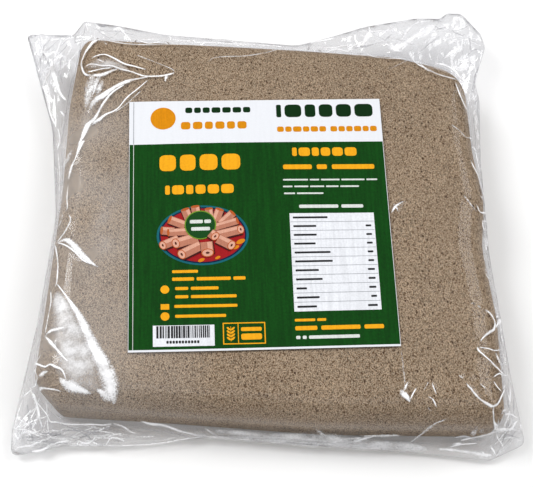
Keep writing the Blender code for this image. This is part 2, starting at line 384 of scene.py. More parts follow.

# %% [markdown]
# ## The bag
# The film is a tube closed at both ends and pulled over the block. It touches the bread
# along the top, leaves it half way down the side and runs out to a loose margin all
# round, longer at the corners. Where it is loose it creases, and each crease that lies
# at a particular place is a path: its points, how wide its fold line is at each, how much
# of that line covers what lies under it, and a tone from dark to bright. Along these
# paths light is painted: a bright line is a painted highlight on a fold, a wide one a
# painted flash, glint or veil of reflection, and a grey line is painted shade in a steep
# fold, partly film lying double.

# %% Crease paths and painted highlights
# Most of these points were written out by a measuring program; they weren't chosen by hand.
FOLDS_AND_PAINTED_LIGHT = [  # tone, cover, and x, y, half width in millimetres along the path
    # the fan at the back left corner
    (1, 1, [
        (-108.5, 124.5, 0.6), (-112, 121.5, 1.3), (-116.5, 116, 1), (-119, 111.5, 0.6),
        (-120.5, 105.5, 0.6), (-118, 96.5, 0.6), (-113.5, 93.5, 1),
    ]),
    (1, 1, [
        (-113.5, 107.5, 0.3), (-110, 109, 0.4), (-104.5, 109.5, 0.5), (-98.5, 106.5, 0.6),
        (-91.5, 102, 0.6), (-85, 100, 0.5), (-77.5, 97.5, 0.4),
    ]),
    (1, 1, [
        (-118, 102, 0.3), (-114, 103, 0.4), (-107, 101, 0.4), (-100, 100.5, 0.5), (-94, 98, 0.7),
        (-86.5, 95.5, 0.6), (-78, 92, 0.6), (-72, 92, 0.5), (-65, 92.5, 0.7), (-58.5, 94.5, 0.5),
    ]),
    (1, 1, [(-116, 97, 0.5), (-110.5, 97.5, 0.5), (-105.5, 98.5, 0.4), (-99.5, 99, 0.4)]),
    (1, 1, [(-113.5, 94, 0.7), (-107, 93.5, 1.3), (-101, 96, 1), (-95.5, 98, 0.6)]),
    (1, 0.9, [(-109.5, 106, 0.4), (-104.5, 103.5, 0.4)]),
    (1, 0.85, [(-107.5, 93, 1.6), (-110, 87.5, 1.6), (-111, 81.5, 1), (-112.5, 78.5, 0.3)]),
    (1, 1, [
        (-75, 91.5, 0.3), (-82.5, 90, 0.6), (-90, 88, 1.3), (-97.5, 84, 1.3), (-105, 78, 1.9),
        (-110.5, 74, 1.9), (-114, 67.5, 1),
    ]),
    (1, 1, [
        (-91.5, 85.5, 0.4), (-99, 80, 0.6), (-105, 72, 0.8), (-108.5, 64.5, 0.8), (-111, 60, 1.3),
        (-115, 56, 1.6), (-117, 51, 1.6), (-118.5, 47, 1), (-121, 42, 0.6),
    ]),
    (1, 1, [
        (-76, 89, 0.3), (-82, 83, 0.4), (-89.5, 76, 0.5), (-94.5, 69, 0.4), (-98, 66, 0.5),
        (-103.5, 63.5, 0.7), (-108, 59.5, 1.1), (-112.5, 56.5, 1),
    ]),
    (1, 0.6, [(-80.5, 81, 0.3), (-90, 71, 0.3), (-97.5, 65, 0.3)]),
    (1, 1, [(-63, 93, 1.6), (-64, 90.5, 1), (-64.5, 87.5, 0.3)]),
    (1, 0.5, [(-83.5, 109, 0.3), (-71, 103, 0.3), (-60, 97.5, 0.3), (-58.5, 95, 0.3)]),
    (1, 0.8, [(-105.5, 121, 0.3), (-103, 117.5, 0.3)]),
    (1, 0.9, [(-114.5, 141, 0.5), (-108.5, 124.5, 0.6)]),
    # down the left side
    (1, 1, [
        (-116.5, 45.5, 0.5), (-119.5, 41.5, 1.3), (-122.5, 33, 0.5), (-125, 28, 1),
        (-126.5, 22, 0.8), (-127, 18.5, 0.3),
    ]),
    (1, 0.8, [(-127, 15.5, 0.3), (-127.5, 6.5, 0.4), (-127, -1, 0.4), (-128, -4, 0.3)]),
    (1, 1, [
        (-126, -6.5, 0.3), (-124.5, -10.5, 0.5), (-126.5, -16, 0.6), (-129.5, -20.5, 0.6),
        (-133.5, -24, 0.4),
    ]),
    # the wedge half way down the left side
    (1, 0.85, [
        (-133, -24.5, 0.5), (-127.5, -24.5, 1.3), (-124, -27, 1.9), (-120, -31.5, 1.9),
        (-116, -36.5, 1.9), (-111.5, -41, 1.3), (-106.5, -44.5, 0.3),
    ]),
    (1, 1, [
        (-133.5, -24, 0.3), (-127, -28.5, 0.5), (-121, -34, 0.5), (-116, -39.5, 0.5),
        (-111, -42.5, 0.3),
    ]),
    # down the left side, continued
    (1, 0.9, [(-134.5, -24.5, 0.4), (-132, -38.5, 0.5), (-132, -51, 0.5), (-133, -55.5, 0.3)]),
    (1, 0.6, [(-130, -4, 0.3), (-131, -9.5, 0.3), (-133.5, -13, 0.3)]),
    # the big flash at the front left
    (1, 1, [
        (-132, -53.5, 0.4), (-126, -62.5, 0.5), (-119, -73.5, 1.7), (-115.5, -80, 2.5),
        (-111.5, -89.5, 2.9), (-108.5, -96.5, 3.4), (-105.5, -102.5, 3.8), (-102.5, -108.5, 4.2),
        (-100, -114.5, 4.6), (-98.5, -120, 4.4), (-97.5, -124.5, 3.4), (-96.5, -128.5, 1.2),
    ]),
    (1, 1, [(-138.5, -86, 0.5), (-134.5, -84.5, 1), (-130, -84, 1), (-125.5, -83, 0.3)]),
    (1, 1, [
        (-138.5, -86.5, 0.5), (-134, -92.5, 1), (-130, -97.5, 0.8), (-126.5, -102, 0.6),
        (-123, -105.5, 0.3),
    ]),
    (1, 0.8, [(-130.5, -90, 1), (-132, -94, 1)]),
    (1, 0.95, [
        (-147.5, -99, 0.4), (-138.5, -106.5, 0.6), (-134.5, -106, 0.6), (-130.5, -108, 0.7),
        (-127, -110, 0.5), (-125, -114.5, 0.4), (-124.5, -116.5, 0.3),
    ]),
    (1, 0.8, [(-145.5, -104, 0.3), (-143, -111.5, 0.4), (-147.5, -111.5, 0.3), (-149, -112.5, 0.3)]),
    (1, 1, [(-135.5, -109.5, 0.3), (-139.5, -110.5, 1.3), (-142.5, -111.5, 0.3)]),
    (1, 0.9, [(-143.5, -114.5, 0.5), (-138, -117.5, 0.4), (-132, -120, 0.4), (-127.5, -122, 0.3)]),
    (1, 0.95, [
        (-129, -114, 0.5), (-125.5, -117.5, 2.2), (-121, -119.5, 3), (-116, -121.5, 1.8),
        (-110, -123.5, 0.6),
    ]),
    (1, 0.9, [(-107, -121.5, 0.6), (-102, -124.5, 2.2), (-98, -127, 1.6)]),
    (1, 0.6, [(-140, -97, 0.3), (-142.5, -100, 0.3), (-144, -102, 0.3)]),
    (1, 0.7, [(-136, -56.5, 0.4), (-135.5, -65.5, 0.4), (-137, -75, 0.4), (-138.5, -85, 0.4)]),
    (1, 0.5, [(-134.5, -71, 0.3), (-128, -70.5, 0.3)]),
    # glints right of the label
    (1, 0.95, [(78.4, -10.8, 0.4), (81.4, -6.6, 0.9), (84.1, -4.6, 0.7), (87.5, -2.5, 0.3)]),
    (1, 0.8, [(80.2, -4.5, 0.3), (81.9, -7.4, 0.5), (83, -10.2, 0.3)]),
    (1, 0.35, [(77.1, -103, 0.4), (77.1, -109, 0.5), (77.5, -118.4, 0.5), (77.4, -126.5, 0.3)]),
    # doubled film along the back right rim and the front edge
    (0.94, 0.3, [
        (40, 113, 1), (81.4, 108, 2), (101.3, 107.5, 2.4), (117.4, 98.5, 2), (134.8, 92.5, 1.4),
    ]),
    (0.94, 0.32, [(131.5, 88.5, 1), (136, 72, 2.2), (139, 57.7, 2.2), (140.5, 41.4, 1.2)]),
    (0.94, 0.5, [
        (-38, -139.3, 0.8), (0, -143.8, 1.4), (30, -146.3, 1.6), (60, -149.6, 1.6),
        (97, -153.8, 1.2),
    ]),
    # soft veils
    (0.94, 0.6, [
        (-132.5, -59, 2.6), (-127, -75, 7), (-121.5, -91.5, 10.5), (-117, -104, 12.5),
        (-113.5, -116, 13), (-112, -124, 10),
    ]),
    (0.94, 0.17, [(-95, 8.5, 3), (-101, -1.5, 6), (-104.5, -15.5, 8), (-103, -29.5, 8), (-98, -41, 5)]),
    (0.94, 0.12, [(-95, 37.5, 5), (-92.5, 19.5, 7), (-90, 1.5, 5)]),
    (0.94, 0.3, [(-111, 75, 2.3), (-115, 64, 4), (-117.5, 53, 3.4)]),
    (0.94, 0.4, [(-117, 101, 2.1), (-107.5, 102.5, 5), (-97, 100.5, 3.5), (-87.5, 95.5, 1.4)]),
    # the ear at the back left
    (1, 1, [(-152.5, 132.5, 0.6), (-147.5, 127.5, 1), (-142, 129, 0.8), (-138, 130.5, 0.4)]),
    (1, 0.9, [(-155, 138.5, 0.8), (-153, 131, 1.2), (-151.5, 124, 0.6)]),
    (1, 1, [
        (-143, 124.5, 1), (-142.5, 114.5, 1.6), (-139.5, 105, 1.3), (-136.5, 96.5, 1),
        (-132, 90, 0.6),
    ]),
    (1, 0.6, [(-152, 123, 0.4), (-149, 113, 0.5), (-145.5, 103.5, 0.4), (-143, 94.5, 0.3)]),
    (1, 0.9, [(-147.5, 99, 0.4), (-143.5, 83, 0.4), (-140, 74, 0.4)]),
    (1, 0.9, [(-132, 138.5, 0.6), (-130, 132.5, 0.6)]),
    (1, 0.8, [(-146, 139.5, 0.5), (-136.5, 141, 0.4)]),
    (1, 0.9, [(-137, 84.5, 0.6), (-133.5, 79, 0.6)]),
    (1, 0.8, [(-138.5, 73, 0.5), (-136.5, 63.5, 0.5), (-138, 55.5, 0.4)]),
    (1, 1, [(-119.5, 147.5, 0.4), (-118, 142, 0.8)]),
    # dark folds of the ear
    (0.25, 0.5, [
        (-119.5, 147.5, 0.3), (-121.5, 142, 0.5), (-124, 139, 0.5), (-123, 121, 0.5),
        (-124.5, 110.5, 0.5), (-128.5, 107.5, 0.5), (-130.5, 97, 0.5), (-132.5, 79.5, 0.6),
        (-135, 59, 0.5),
    ]),
    (0.3, 0.45, [(-138, 134.5, 0.4), (-132, 140, 0.5), (-126, 144.5, 0.4)]),
    (0.3, 0.45, [(-160.5, 145, 0.5), (-156.5, 129.5, 0.6), (-152.5, 117.5, 0.5)]),
    (0.3, 0.4, [(-152, 136.5, 0.3), (-146.5, 122, 0.6), (-140, 108.5, 0.4)]),
    (0.3, 0.4, [(-135, 130, 0.5), (-137.5, 116, 0.6), (-135.5, 104, 0.4)]),
    # the back edge
    (1, 0.9, [(-101.5, 143.5, 0.8), (-96.5, 145, 1), (-92, 141, 0.3)]),
    (1, 0.8, [
        (-96, 143, 0.5), (-90.5, 138, 0.6), (-79, 121, 0.6), (-67.5, 123, 0.6), (-54.5, 136, 0.4),
    ]),
    (0.85, 0.6, [
        (-106, 123.5, 0.5), (-90.5, 119, 0.6), (-75, 118, 0.6), (-54.5, 119, 0.6),
        (-31, 117.5, 0.4),
    ]),
    (0.3, 0.45, [(-111.5, 143.5, 0.4), (-103.5, 138, 0.4), (-96, 142, 0.4)]),
    (0.9, 0.5, [
        (-36, 103, 0.3), (-32, 106, 0.4), (-25, 107, 0.5), (-11, 107.5, 0.5), (3, 110.5, 0.5),
        (12.5, 115, 0.5),
    ]),
    (1, 0.7, [(-61.5, 137, 0.4), (-37.5, 134, 0.5), (-5.5, 133, 0.5), (18.5, 131, 0.5)]),
    (1, 0.9, [(34.5, 134, 0.4), (42.5, 135, 0.6), (53.5, 137.5, 0.5)]),
    (0.9, 0.6, [(20, 117, 0.6), (36, 114.5, 1), (50.5, 127.5, 1), (64, 126.5, 0.8)]),
    (1, 0.7, [(33, 131, 0.4), (50.5, 129.5, 0.5), (64.5, 131.5, 0.4)]),
    # the puff at the back right
    (1, 1, [
        (91, 127, 0.6), (98.5, 129, 1.9), (107, 134, 1.3), (115.5, 138.5, 1.3), (122.5, 143.5, 1.6),
        (126, 145, 0.6),
    ]),
    (1, 1, [(92.5, 127, 0.6), (99.5, 125, 1.3)]),
    (1, 1, [(68, 140.5, 0.5), (68.5, 134, 0.6), (72.5, 130.5, 1), (78, 139.5, 1.6), (79, 143, 0.6)]),
    (1, 0.9, [(78, 146.5, 0.5), (79.5, 142, 0.5)]),
    (1, 0.9, [(93.5, 144.5, 0.5), (97.5, 141.5, 0.8), (96.5, 145, 0.3)]),
    (1, 0.8, [
        (95, 129, 0.3), (101, 134.5, 0.4), (106, 142.5, 0.4), (114.5, 148, 0.4), (125, 149.5, 0.3),
    ]),
    (1, 0.8, [(115.5, 129, 0.5), (118.5, 133.5, 0.5)]),
    (1, 1, [(129.5, 119, 0.8), (134, 122.5, 1.2), (137.5, 125, 1), (142, 128, 0.6)]),
    (1, 0.9, [(132.5, 130, 1), (138.5, 133.5, 0.8)]),
    (1, 0.9, [(137, 143.5, 0.6), (142, 142.5, 0.7), (148, 145.5, 0.4)]),
    (1, 0.8, [(142.5, 139, 0.4), (147.5, 134.5, 0.4), (153.5, 129, 0.4), (158, 129.5, 0.3)]),
    (1, 0.95, [
        (123, 115.5, 0.6), (130, 113.5, 0.8), (136, 109, 0.8), (140.5, 102, 0.5), (152, 96.5, 0.4),
    ]),
    (0.9, 0.75, [
        (64, 127, 0.4), (72.5, 110.5, 0.5), (84, 106, 0.5), (101, 106, 0.6), (107, 99.5, 0.6),
        (116, 93, 0.6), (124.5, 90, 0.6), (132, 89.5, 0.6),
    ]),
    (1, 0.6, [(107, 103, 0.3), (110.5, 96, 0.8), (116, 93, 0.3)]),
    (0.9, 0.4, [(101, 106, 0.4), (91, 99, 0.3), (83, 95.5, 0.3)]),
    (0.2, 0.5, [
        (122, 147.5, 0.4), (127.5, 142, 0.5), (132.5, 143, 0.5), (136.5, 140, 0.5),
        (143.5, 137.5, 0.5), (153.5, 131.5, 0.4),
    ]),
    (0.3, 0.45, [(107, 121.5, 0.4), (116.5, 127, 0.5), (128.5, 137.5, 0.4)]),
    (0.3, 0.45, [(145, 120, 0.4), (151, 125, 0.5), (158, 125, 0.4)]),
    (0.35, 0.4, [(72.5, 145, 0.4), (82.5, 139, 0.5), (92, 131, 0.4)]),
    (0.35, 0.4, [(137, 111.5, 0.4), (144, 116, 0.5), (150.5, 114, 0.4)]),
    # down the right side
    (1, 0.85, [(130, 87, 0.4), (131.5, 80, 0.6), (134.5, 72, 0.6), (138, 67.5, 0.4)]),
    (1, 0.9, [(133, 88.5, 0.6), (135.5, 87, 1)]),
    (1, 0.8, [(143, 93, 0.4), (147, 88, 0.5), (152.5, 96, 0.4)]),
    (1, 0.55, [(123.5, 53, 0.3), (129.5, 48.5, 0.4), (134, 45.5, 0.4), (144, 51.5, 0.5)]),
    (1, 0.8, [(136, 46, 0.5), (144, 50.5, 0.7), (145.5, 42.5, 0.5), (146.5, 33.5, 0.4)]),
    (1, 0.75, [
        (134.5, 28.5, 0.4), (136.5, 23.5, 0.6), (139, 19, 0.7), (141, 11.5, 0.6), (142.5, 1.5, 0.4),
    ]),
    (1, 0.9, [(138, 3.5, 0.5), (141.5, 1.5, 0.5)]),
    (1, 0.6, [(125.5, 2, 0.4), (129, -3, 0.5), (132, -7, 0.4), (135, -9.5, 0.3)]),
    (1, 0.8, [(134.5, -4, 0.4), (138, -8.5, 0.5), (148, -1, 0.5), (148.5, -7.5, 0.4)]),
    (1, 0.9, [(138.5, -13, 0.6), (139.5, -18, 0.7), (145.5, -15.5, 0.6), (144.5, -25.5, 0.5)]),
    (1, 0.9, [(136.5, -39, 0.5), (137, -41.5, 0.5)]),
    (1, 0.9, [(127, -74.5, 0.4), (129, -76.5, 0.6)]),
    (1, 1, [
        (131.5, -77, 0.4), (135, -79, 0.8), (137, -81.5, 0.6), (138, -84.5, 0.5), (136.5, -89, 0.8),
        (132, -92.5, 0.9), (128.5, -95.5, 0.5), (126, -98.5, 0.3),
    ]),
    (1, 1, [
        (124, -101.5, 0.3), (124.5, -104, 0.6), (128, -107.5, 0.5), (132, -111, 0.5),
        (136, -114, 0.5), (139.5, -115.5, 0.5), (145.5, -112.5, 0.4),
    ]),
    (1, 0.8, [(123, -73.5, 0.3), (125, -73, 0.3)]),
    (1, 0.9, [(139.5, -80, 0.8), (150.5, -71, 1), (140.5, -84, 0.6), (138.5, -87.5, 0.3)]),
    (1, 0.6, [(125, -102, 0.3), (131, -102.5, 0.4), (137, -102.5, 0.4), (148.5, -94.5, 0.4)]),
    (1, 0.95, [(136, -104.5, 0.6), (138, -109, 1.1), (139.5, -111, 0.5)]),
    (1, 0.9, [(149, -97.5, 0.6), (150.5, -100.5, 0.8)]),
    (1, 0.6, [
        (136, -45.5, 0.3), (137.5, -53.5, 0.4), (147.5, -49.5, 0.4), (150, -57.5, 0.4),
        (149, -66.5, 0.4),
    ]),
    (0.35, 0.5, [
        (149.5, 42.5, 0.4), (149, 20.5, 0.4), (148.5, -1.5, 0.4), (148, -19.5, 0.4),
        (149, -43, 0.4), (150.5, -67, 0.5), (151.5, -87, 0.5), (152.5, -107.5, 0.4),
    ]),
    # the front right corner
    (1, 1, [(110.5, -119.5, 0.4), (113, -121.5, 0.8)]),
    (1, 1, [
        (114.5, -124.5, 0.4), (117, -128, 0.8), (120, -132, 0.7), (123, -135, 0.6),
        (126.5, -137, 0.9), (130, -138.5, 0.8), (133.5, -136.5, 0.6), (138, -129.5, 0.5),
        (146.5, -116.5, 0.4),
    ]),
    (1, 1, [
        (130, -138.5, 0.6), (130.5, -141.5, 0.5), (132, -145.5, 0.5), (136.5, -146.5, 0.6),
        (140.5, -146, 0.9), (146, -145.5, 0.9), (150.5, -140.5, 0.6), (154, -137.5, 0.4),
    ]),
    (1, 0.8, [(117, -121, 0.4), (119, -123, 0.4)]),
    (1, 0.9, [(123, -125, 0.4), (126.5, -128.5, 0.5)]),
    (1, 0.9, [(132, -123, 0.4), (134.5, -126.5, 0.4), (137.5, -128.5, 0.3)]),
    (1, 0.95, [(120, -148, 0.4), (122.5, -148, 1.3), (124, -147.5, 0.4)]),
    (1, 0.6, [(125, -147.5, 0.4), (128.5, -148, 0.5)]),
    (1, 1, [(74.5, -127.5, 1), (76, -130, 1.6), (78, -132, 1.4), (80, -135, 0.3)]),
    (1, 1, [(79.5, -123, 0.4), (76.5, -128, 1)]),
    (1, 0.95, [(84.5, -126.5, 0.4), (82, -130, 0.4), (80, -134, 0.4)]),
    (1, 0.8, [(94, -123.5, 0.4), (94.5, -126.5, 0.4), (96, -131, 0.3)]),
    (1, 0.8, [(91, -132, 0.3), (93.5, -133.5, 0.4), (95, -136, 0.4), (96, -138, 0.4)]),
    (1, 0.5, [(92, -123, 0.3), (88.5, -128.5, 0.3)]),
    (1, 0.5, [(90.5, -138, 0.4), (93, -140, 0.4)]),
    (1, 1, [
        (101, -154, 0.4), (109.5, -155, 0.6), (120, -156.5, 0.7), (128.5, -158, 0.8),
        (134, -159.5, 0.8),
    ]),
    (1, 0.9, [(128.5, -156, 0.4), (131, -158.5, 0.8), (136, -158.5, 0.5)]),
    (1, 0.95, [(133.5, -153.5, 0.5), (136, -156, 0.7), (138.5, -158.5, 0.5)]),
    (1, 0.8, [(139, -157.5, 0.4), (142.5, -154.5, 0.4)]),
    (0.9, 0.7, [
        (114, -151, 0.4), (122, -150, 0.5), (129.5, -149, 0.5), (136.5, -147.5, 0.5),
        (146, -146, 0.4), (153, -144.5, 0.3),
    ]),
    (1, 0.9, [(110, -152.5, 0.4), (116.5, -152.5, 0.8)]),
    (1, 0.9, [(136, -142.5, 0.4), (138.5, -139, 0.6), (147.5, -135.5, 0.6), (155, -136, 0.4)]),
    (1, 0.9, [(154, -138.5, 0.8), (155, -142, 1.5), (154, -145, 0.8)]),
    (1, 0.8, [(149, -121, 0.5), (148.5, -127, 0.6)]),
    (1, 0.8, [(132, -120.5, 0.4), (137.5, -117, 0.5), (141.5, -118, 0.4)]),
    (1, 0.85, [(130.5, -110, 0.4), (133.5, -113, 0.5), (138.5, -115.5, 0.4)]),
    (1, 0.7, [(138, -109.5, 0.5), (141.5, -111.5, 0.6), (152, -107.5, 0.5)]),
    (0.35, 0.45, [(140.5, -132, 0.4), (136, -142.5, 0.5), (138, -145.5, 0.4)]),
    (0.35, 0.45, [(153.5, -112, 0.4), (153, -124, 0.5), (150.5, -134, 0.4)]),
    (0.3, 0.45, [(139.5, -149.5, 0.4), (145, -148.5, 0.5), (156, -147.5, 0.4)]),
    # the front edge
    (1, 0.95, [
        (-148.5, -114, 0.6), (-146.5, -118, 0.9), (-144.5, -125, 0.8), (-143.5, -130.5, 0.6),
        (-142, -135.5, 0.6),
    ]),
    (1, 0.9, [
        (-147.5, -117, 0.3), (-144, -122, 0.4), (-139.5, -127.5, 0.4), (-137.5, -131.5, 0.4),
        (-134.5, -133, 0.4), (-125.5, -134, 0.4), (-111.5, -134.5, 0.4), (-104.5, -135, 0.4),
        (-99, -134.5, 0.5),
    ]),
    (1, 0.95, [(-99, -134.5, 0.6), (-93.5, -136, 0.5), (-88.5, -138.5, 0.5), (-84, -140, 0.3)]),
    (1, 0.55, [(-99, -135, 0.4), (-104.5, -136.5, 0.6), (-113.5, -139.5, 0.5), (-123.5, -141, 0.4)]),
    (1, 0.5, [(-123.5, -141, 0.4), (-112, -141, 0.4), (-98, -142, 0.4), (-84, -142.5, 0.3)]),
    (1, 0.7, [(-142, -137.5, 0.4), (-132.5, -137.5, 0.4), (-128.5, -136, 0.4), (-119, -137, 0.4)]),
    (1, 0.9, [(-159.5, -146.5, 0.4), (-150.5, -145, 0.6), (-141, -142.5, 0.6), (-135, -141, 0.4)]),
    (1, 0.95, [
        (-149.5, -148, 0.5), (-143, -147.5, 0.9), (-137.5, -145, 0.7), (-130.5, -143, 0.6),
        (-125.5, -142.5, 0.4),
    ]),
    (1, 0.8, [(-159.5, -136, 0.4), (-157.5, -133.5, 0.5), (-153.5, -129, 0.5), (-148.5, -123.5, 0.4)]),
    (1, 0.9, [(-159.5, -136.5, 0.3), (-159, -138, 0.8), (-157, -141, 0.8), (-154.5, -139.5, 0.3)]),
    (1, 0.9, [(-155, -139.5, 0.3), (-150, -138, 0.9), (-147, -138.5, 0.8), (-143.5, -136, 0.4)]),
    (1, 0.7, [(-160, -136, 0.3), (-158, -126.5, 0.4), (-155, -116, 0.4)]),
    (1, 0.85, [(-156, -115, 0.5), (-151.5, -113.5, 0.6), (-148.5, -112.5, 0.5)]),
    (1, 0.8, [(-119, -142, 0.4), (-123.5, -145, 0.4), (-128, -144, 0.4)]),
    (1, 0.85, [
        (-118, -142, 0.4), (-112.5, -143, 0.5), (-108.5, -144.5, 0.4), (-104, -145, 0.4),
        (-101, -142, 0.5), (-96.5, -142, 0.6), (-91, -144, 0.4),
    ]),
    (1, 0.75, [
        (-126, -144.5, 0.3), (-108, -145, 0.4), (-98, -146, 0.4), (-87.5, -146, 0.4),
        (-77, -145.5, 0.5), (-66, -144.5, 0.5), (-55.5, -143, 0.5), (-42.5, -141.5, 0.5),
    ]),
    (0.9, 0.7, [
        (-82.5, -134, 0.3), (-76, -135.5, 0.6), (-67.5, -136.5, 0.6), (-58, -139, 0.5),
        (-49.5, -140.5, 0.5), (-43.5, -141.5, 1.1), (-34, -142.5, 1), (-23, -144, 0.6),
    ]),
    (0.9, 0.6, [(-48, -138, 0.4), (-44.5, -141.5, 0.6)]),
    (0.9, 0.65, [
        (-43, -138, 0.3), (-37, -140.5, 0.5), (-31, -142, 0.5), (-6, -144, 0.5), (22, -146.5, 0.5),
        (34, -148, 0.4),
    ]),
    # the band along the front
    (0.82, 0.6, [
        (-41, -142, 1), (-20, -144, 1.6), (-6, -145.5, 1.7), (8.5, -147, 1.9), (22.5, -148.5, 2),
        (42, -150, 2.2), (63.5, -151.5, 2.2), (85, -152.5, 1.9), (94, -153.5, 1),
    ]),
    # the front edge, continued
    (1, 0.6, [(-27, -143, 0.3), (9.5, -146.5, 0.4), (46.5, -150, 0.4), (85.5, -153, 0.4)]),
    (0.35, 0.4, [(27.5, -147, 0.3), (49, -148.5, 0.4), (77.5, -150, 0.4), (102.5, -152, 0.3)]),
    (0.35, 0.4, [(-82.5, -137.5, 0.4), (-67, -139, 0.5), (-52, -141.5, 0.4)]),
    (0.85, 0.5, [(-131.5, -139, 0.4), (-113, -140.5, 0.4), (-91.5, -140, 0.4)]),
    (0.35, 0.45, [(-152.5, -137, 0.4), (-148, -132.5, 0.5), (-146, -126, 0.4)]),
    (0.35, 0.45, [(-157, -142, 0.4), (-146, -140.5, 0.5), (-131, -139, 0.4)]),
    # the left edge
    (0.4, 0.5, [
        (-139.5, 56, 0.4), (-138, 33.5, 0.5), (-138, 8.5, 0.5), (-136.5, -26.5, 0.5),
        (-142, -43, 0.5), (-146.5, -64, 0.5), (-151, -85, 0.5), (-155, -106.5, 0.5),
    ]),
    (1, 0.5, [(-137.5, 53.5, 0.4), (-135.5, 32, 0.4), (-136, 14.5, 0.4)]),
    (0.25, 0.45, [(-135, 54, 0.4), (-132, 20.5, 0.5), (-133, -2.5, 0.4), (-134.5, -23, 0.4)]),
    (0.9, 0.4, [(-138.5, -54.5, 0.4), (-141.5, -74.5, 0.5), (-148.5, -89.5, 0.4)]),
    # the fan at the back left corner, continued
    (1, 0.75, [(-112.5, 93.5, 2.2), (-113.5, 86, 3.5), (-115, 77, 2.6), (-116.5, 69.5, 1.3)]),
    (1, 0.6, [(-105.5, 90, 1.3), (-107.5, 84, 1.9), (-109.5, 78.5, 1.3)]),
    # the big flash at the front left, continued
    (1, 0.6, [(-125, 40.5, 1.3), (-129.5, 34.5, 2.6), (-135.5, 33, 1.9)]),
]
WIDEST_TENT = 2.6  # a fold line with a larger half width is a flash of light, not a crease
BAG_CREASES = []  # the clearer creases as tents: path, half width, height
for tone, cover, path in FOLDS_AND_PAINTED_LIGHT:
    widest = max(point[2] for point in path)
    if cover >= 0.5 and widest < WIDEST_TENT:
        ridge = [point[:2] for point in path]
        BAG_CREASES.append((ridge, 1.6 + 1.1 * widest, 0.35 + 0.3 * widest))


def tent(x, y, path, width, height, lean=0.0):
    """Height of a crease along a path of points in millimetres, with straight slopes."""
    points = np.array(path, float) * MM
    total = np.zeros_like(x)
    room = 2 * width * MM
    low = points.min(axis=0) - room
    high = points.max(axis=0) + room
    near = (x > low[0]) & (x < high[0]) & (y > low[1]) & (y < high[1])
    here_x = x[near]
    here_y = y[near]
    best = np.zeros_like(here_x)
    count = len(points) - 1
    for i in range(count):
        start = points[i]
        step = points[i + 1] - start
        length = step @ step
        px = here_x - start[0]
        py = here_y - start[1]
        share = np.clip((px * step[0] + py * step[1]) / length, 0, 1)
        gap_x = px - share * step[0]
        gap_y = py - share * step[1]
        side = np.sign(step[0] * gap_y - step[1] * gap_x)
        travelled = (i + share) / count
        taper = np.sin(math.pi * (0.08 + 0.84 * travelled)) ** 0.5
        reach = width * MM * (1 + lean * side) * taper
        slope = np.maximum(0, 1 - np.hypot(gap_x, gap_y) / reach)
        best = np.maximum(best, height * MM * taper * slope)
    total[near] = best
    return total


print("creases:", len(FOLDS_AND_PAINTED_LIGHT), "of them tents:", len(BAG_CREASES))

# %% [markdown]
# ## Loose film
# The margins hold far more film than the block needs, so they crumple into many small
# folds with no fixed order. These are tents too, strewn by a seeded dice: each region
# says where they lie, which way they mostly run, how many there are and how high they are.

# %% Strewn creases in the loose margins
LOOSE_REGIONS = [  # middle x, y, spread x, y, direction in degrees, its spread, count, height
    (112, 142, 46, 14, 30, 22, 60, 2.0),
    (150, 60, 5, 60, 92, 12, 34, 1.3),
    (150, -70, 5, 75, 94, 12, 36, 1.3),
    (148, -150, 14, 12, 35, 40, 60, 1.6),
    (0, -148, 130, 6, 2, 12, 80, 1.2),
    (-147, -140, 14, 12, 30, 40, 60, 1.7),
    (-105, -142, 40, 5, 4, 9, 44, 1.1),
    (-143, -40, 5, 80, 95, 12, 34, 1.2),
    (-147, 128, 12, 20, 75, 30, 36, 1.8),
    (-110, 150, 30, 7, 5, 25, 24, 1.5),
    (0, 138, 80, 6, -2, 10, 30, 1.2),
]


def strewn_tents(x, y, seed):
    """Ups and downs of the loose film, from many small creases."""
    dice = np.random.RandomState(seed)
    total = np.zeros_like(x)
    for mid_x, mid_y, spread_x, spread_y, main, spread, count, height in LOOSE_REGIONS:
        for _ in range(count):
            at = np.array([dice.normal(mid_x, spread_x * 0.6), dice.normal(mid_y, spread_y * 0.6)])
            turn = math.radians(dice.normal(main, spread))
            half = dice.uniform(6, 20) * np.array([math.cos(turn), math.sin(turn)])
            sign = 1 if dice.uniform() < 0.6 else -0.7
            width = dice.uniform(1.6, 4.5)
            rise = height * dice.uniform(0.4, 1.0)
            lean = dice.uniform(-0.5, 0.5)
            total += sign * tent(x, y, [at - half, at + half], width, rise, lean)
    return total


BLOCK_SHARE = 0.86  # share of the square that covers the block; the rest is the margin
SAG = 0.69  # below 1 the loose film drops soon after it leaves the block
RIM_CREASES = 16 * MM  # how far in from the rim the margin's creases still show
LEAST_HEIGHT = 0.25 * MM


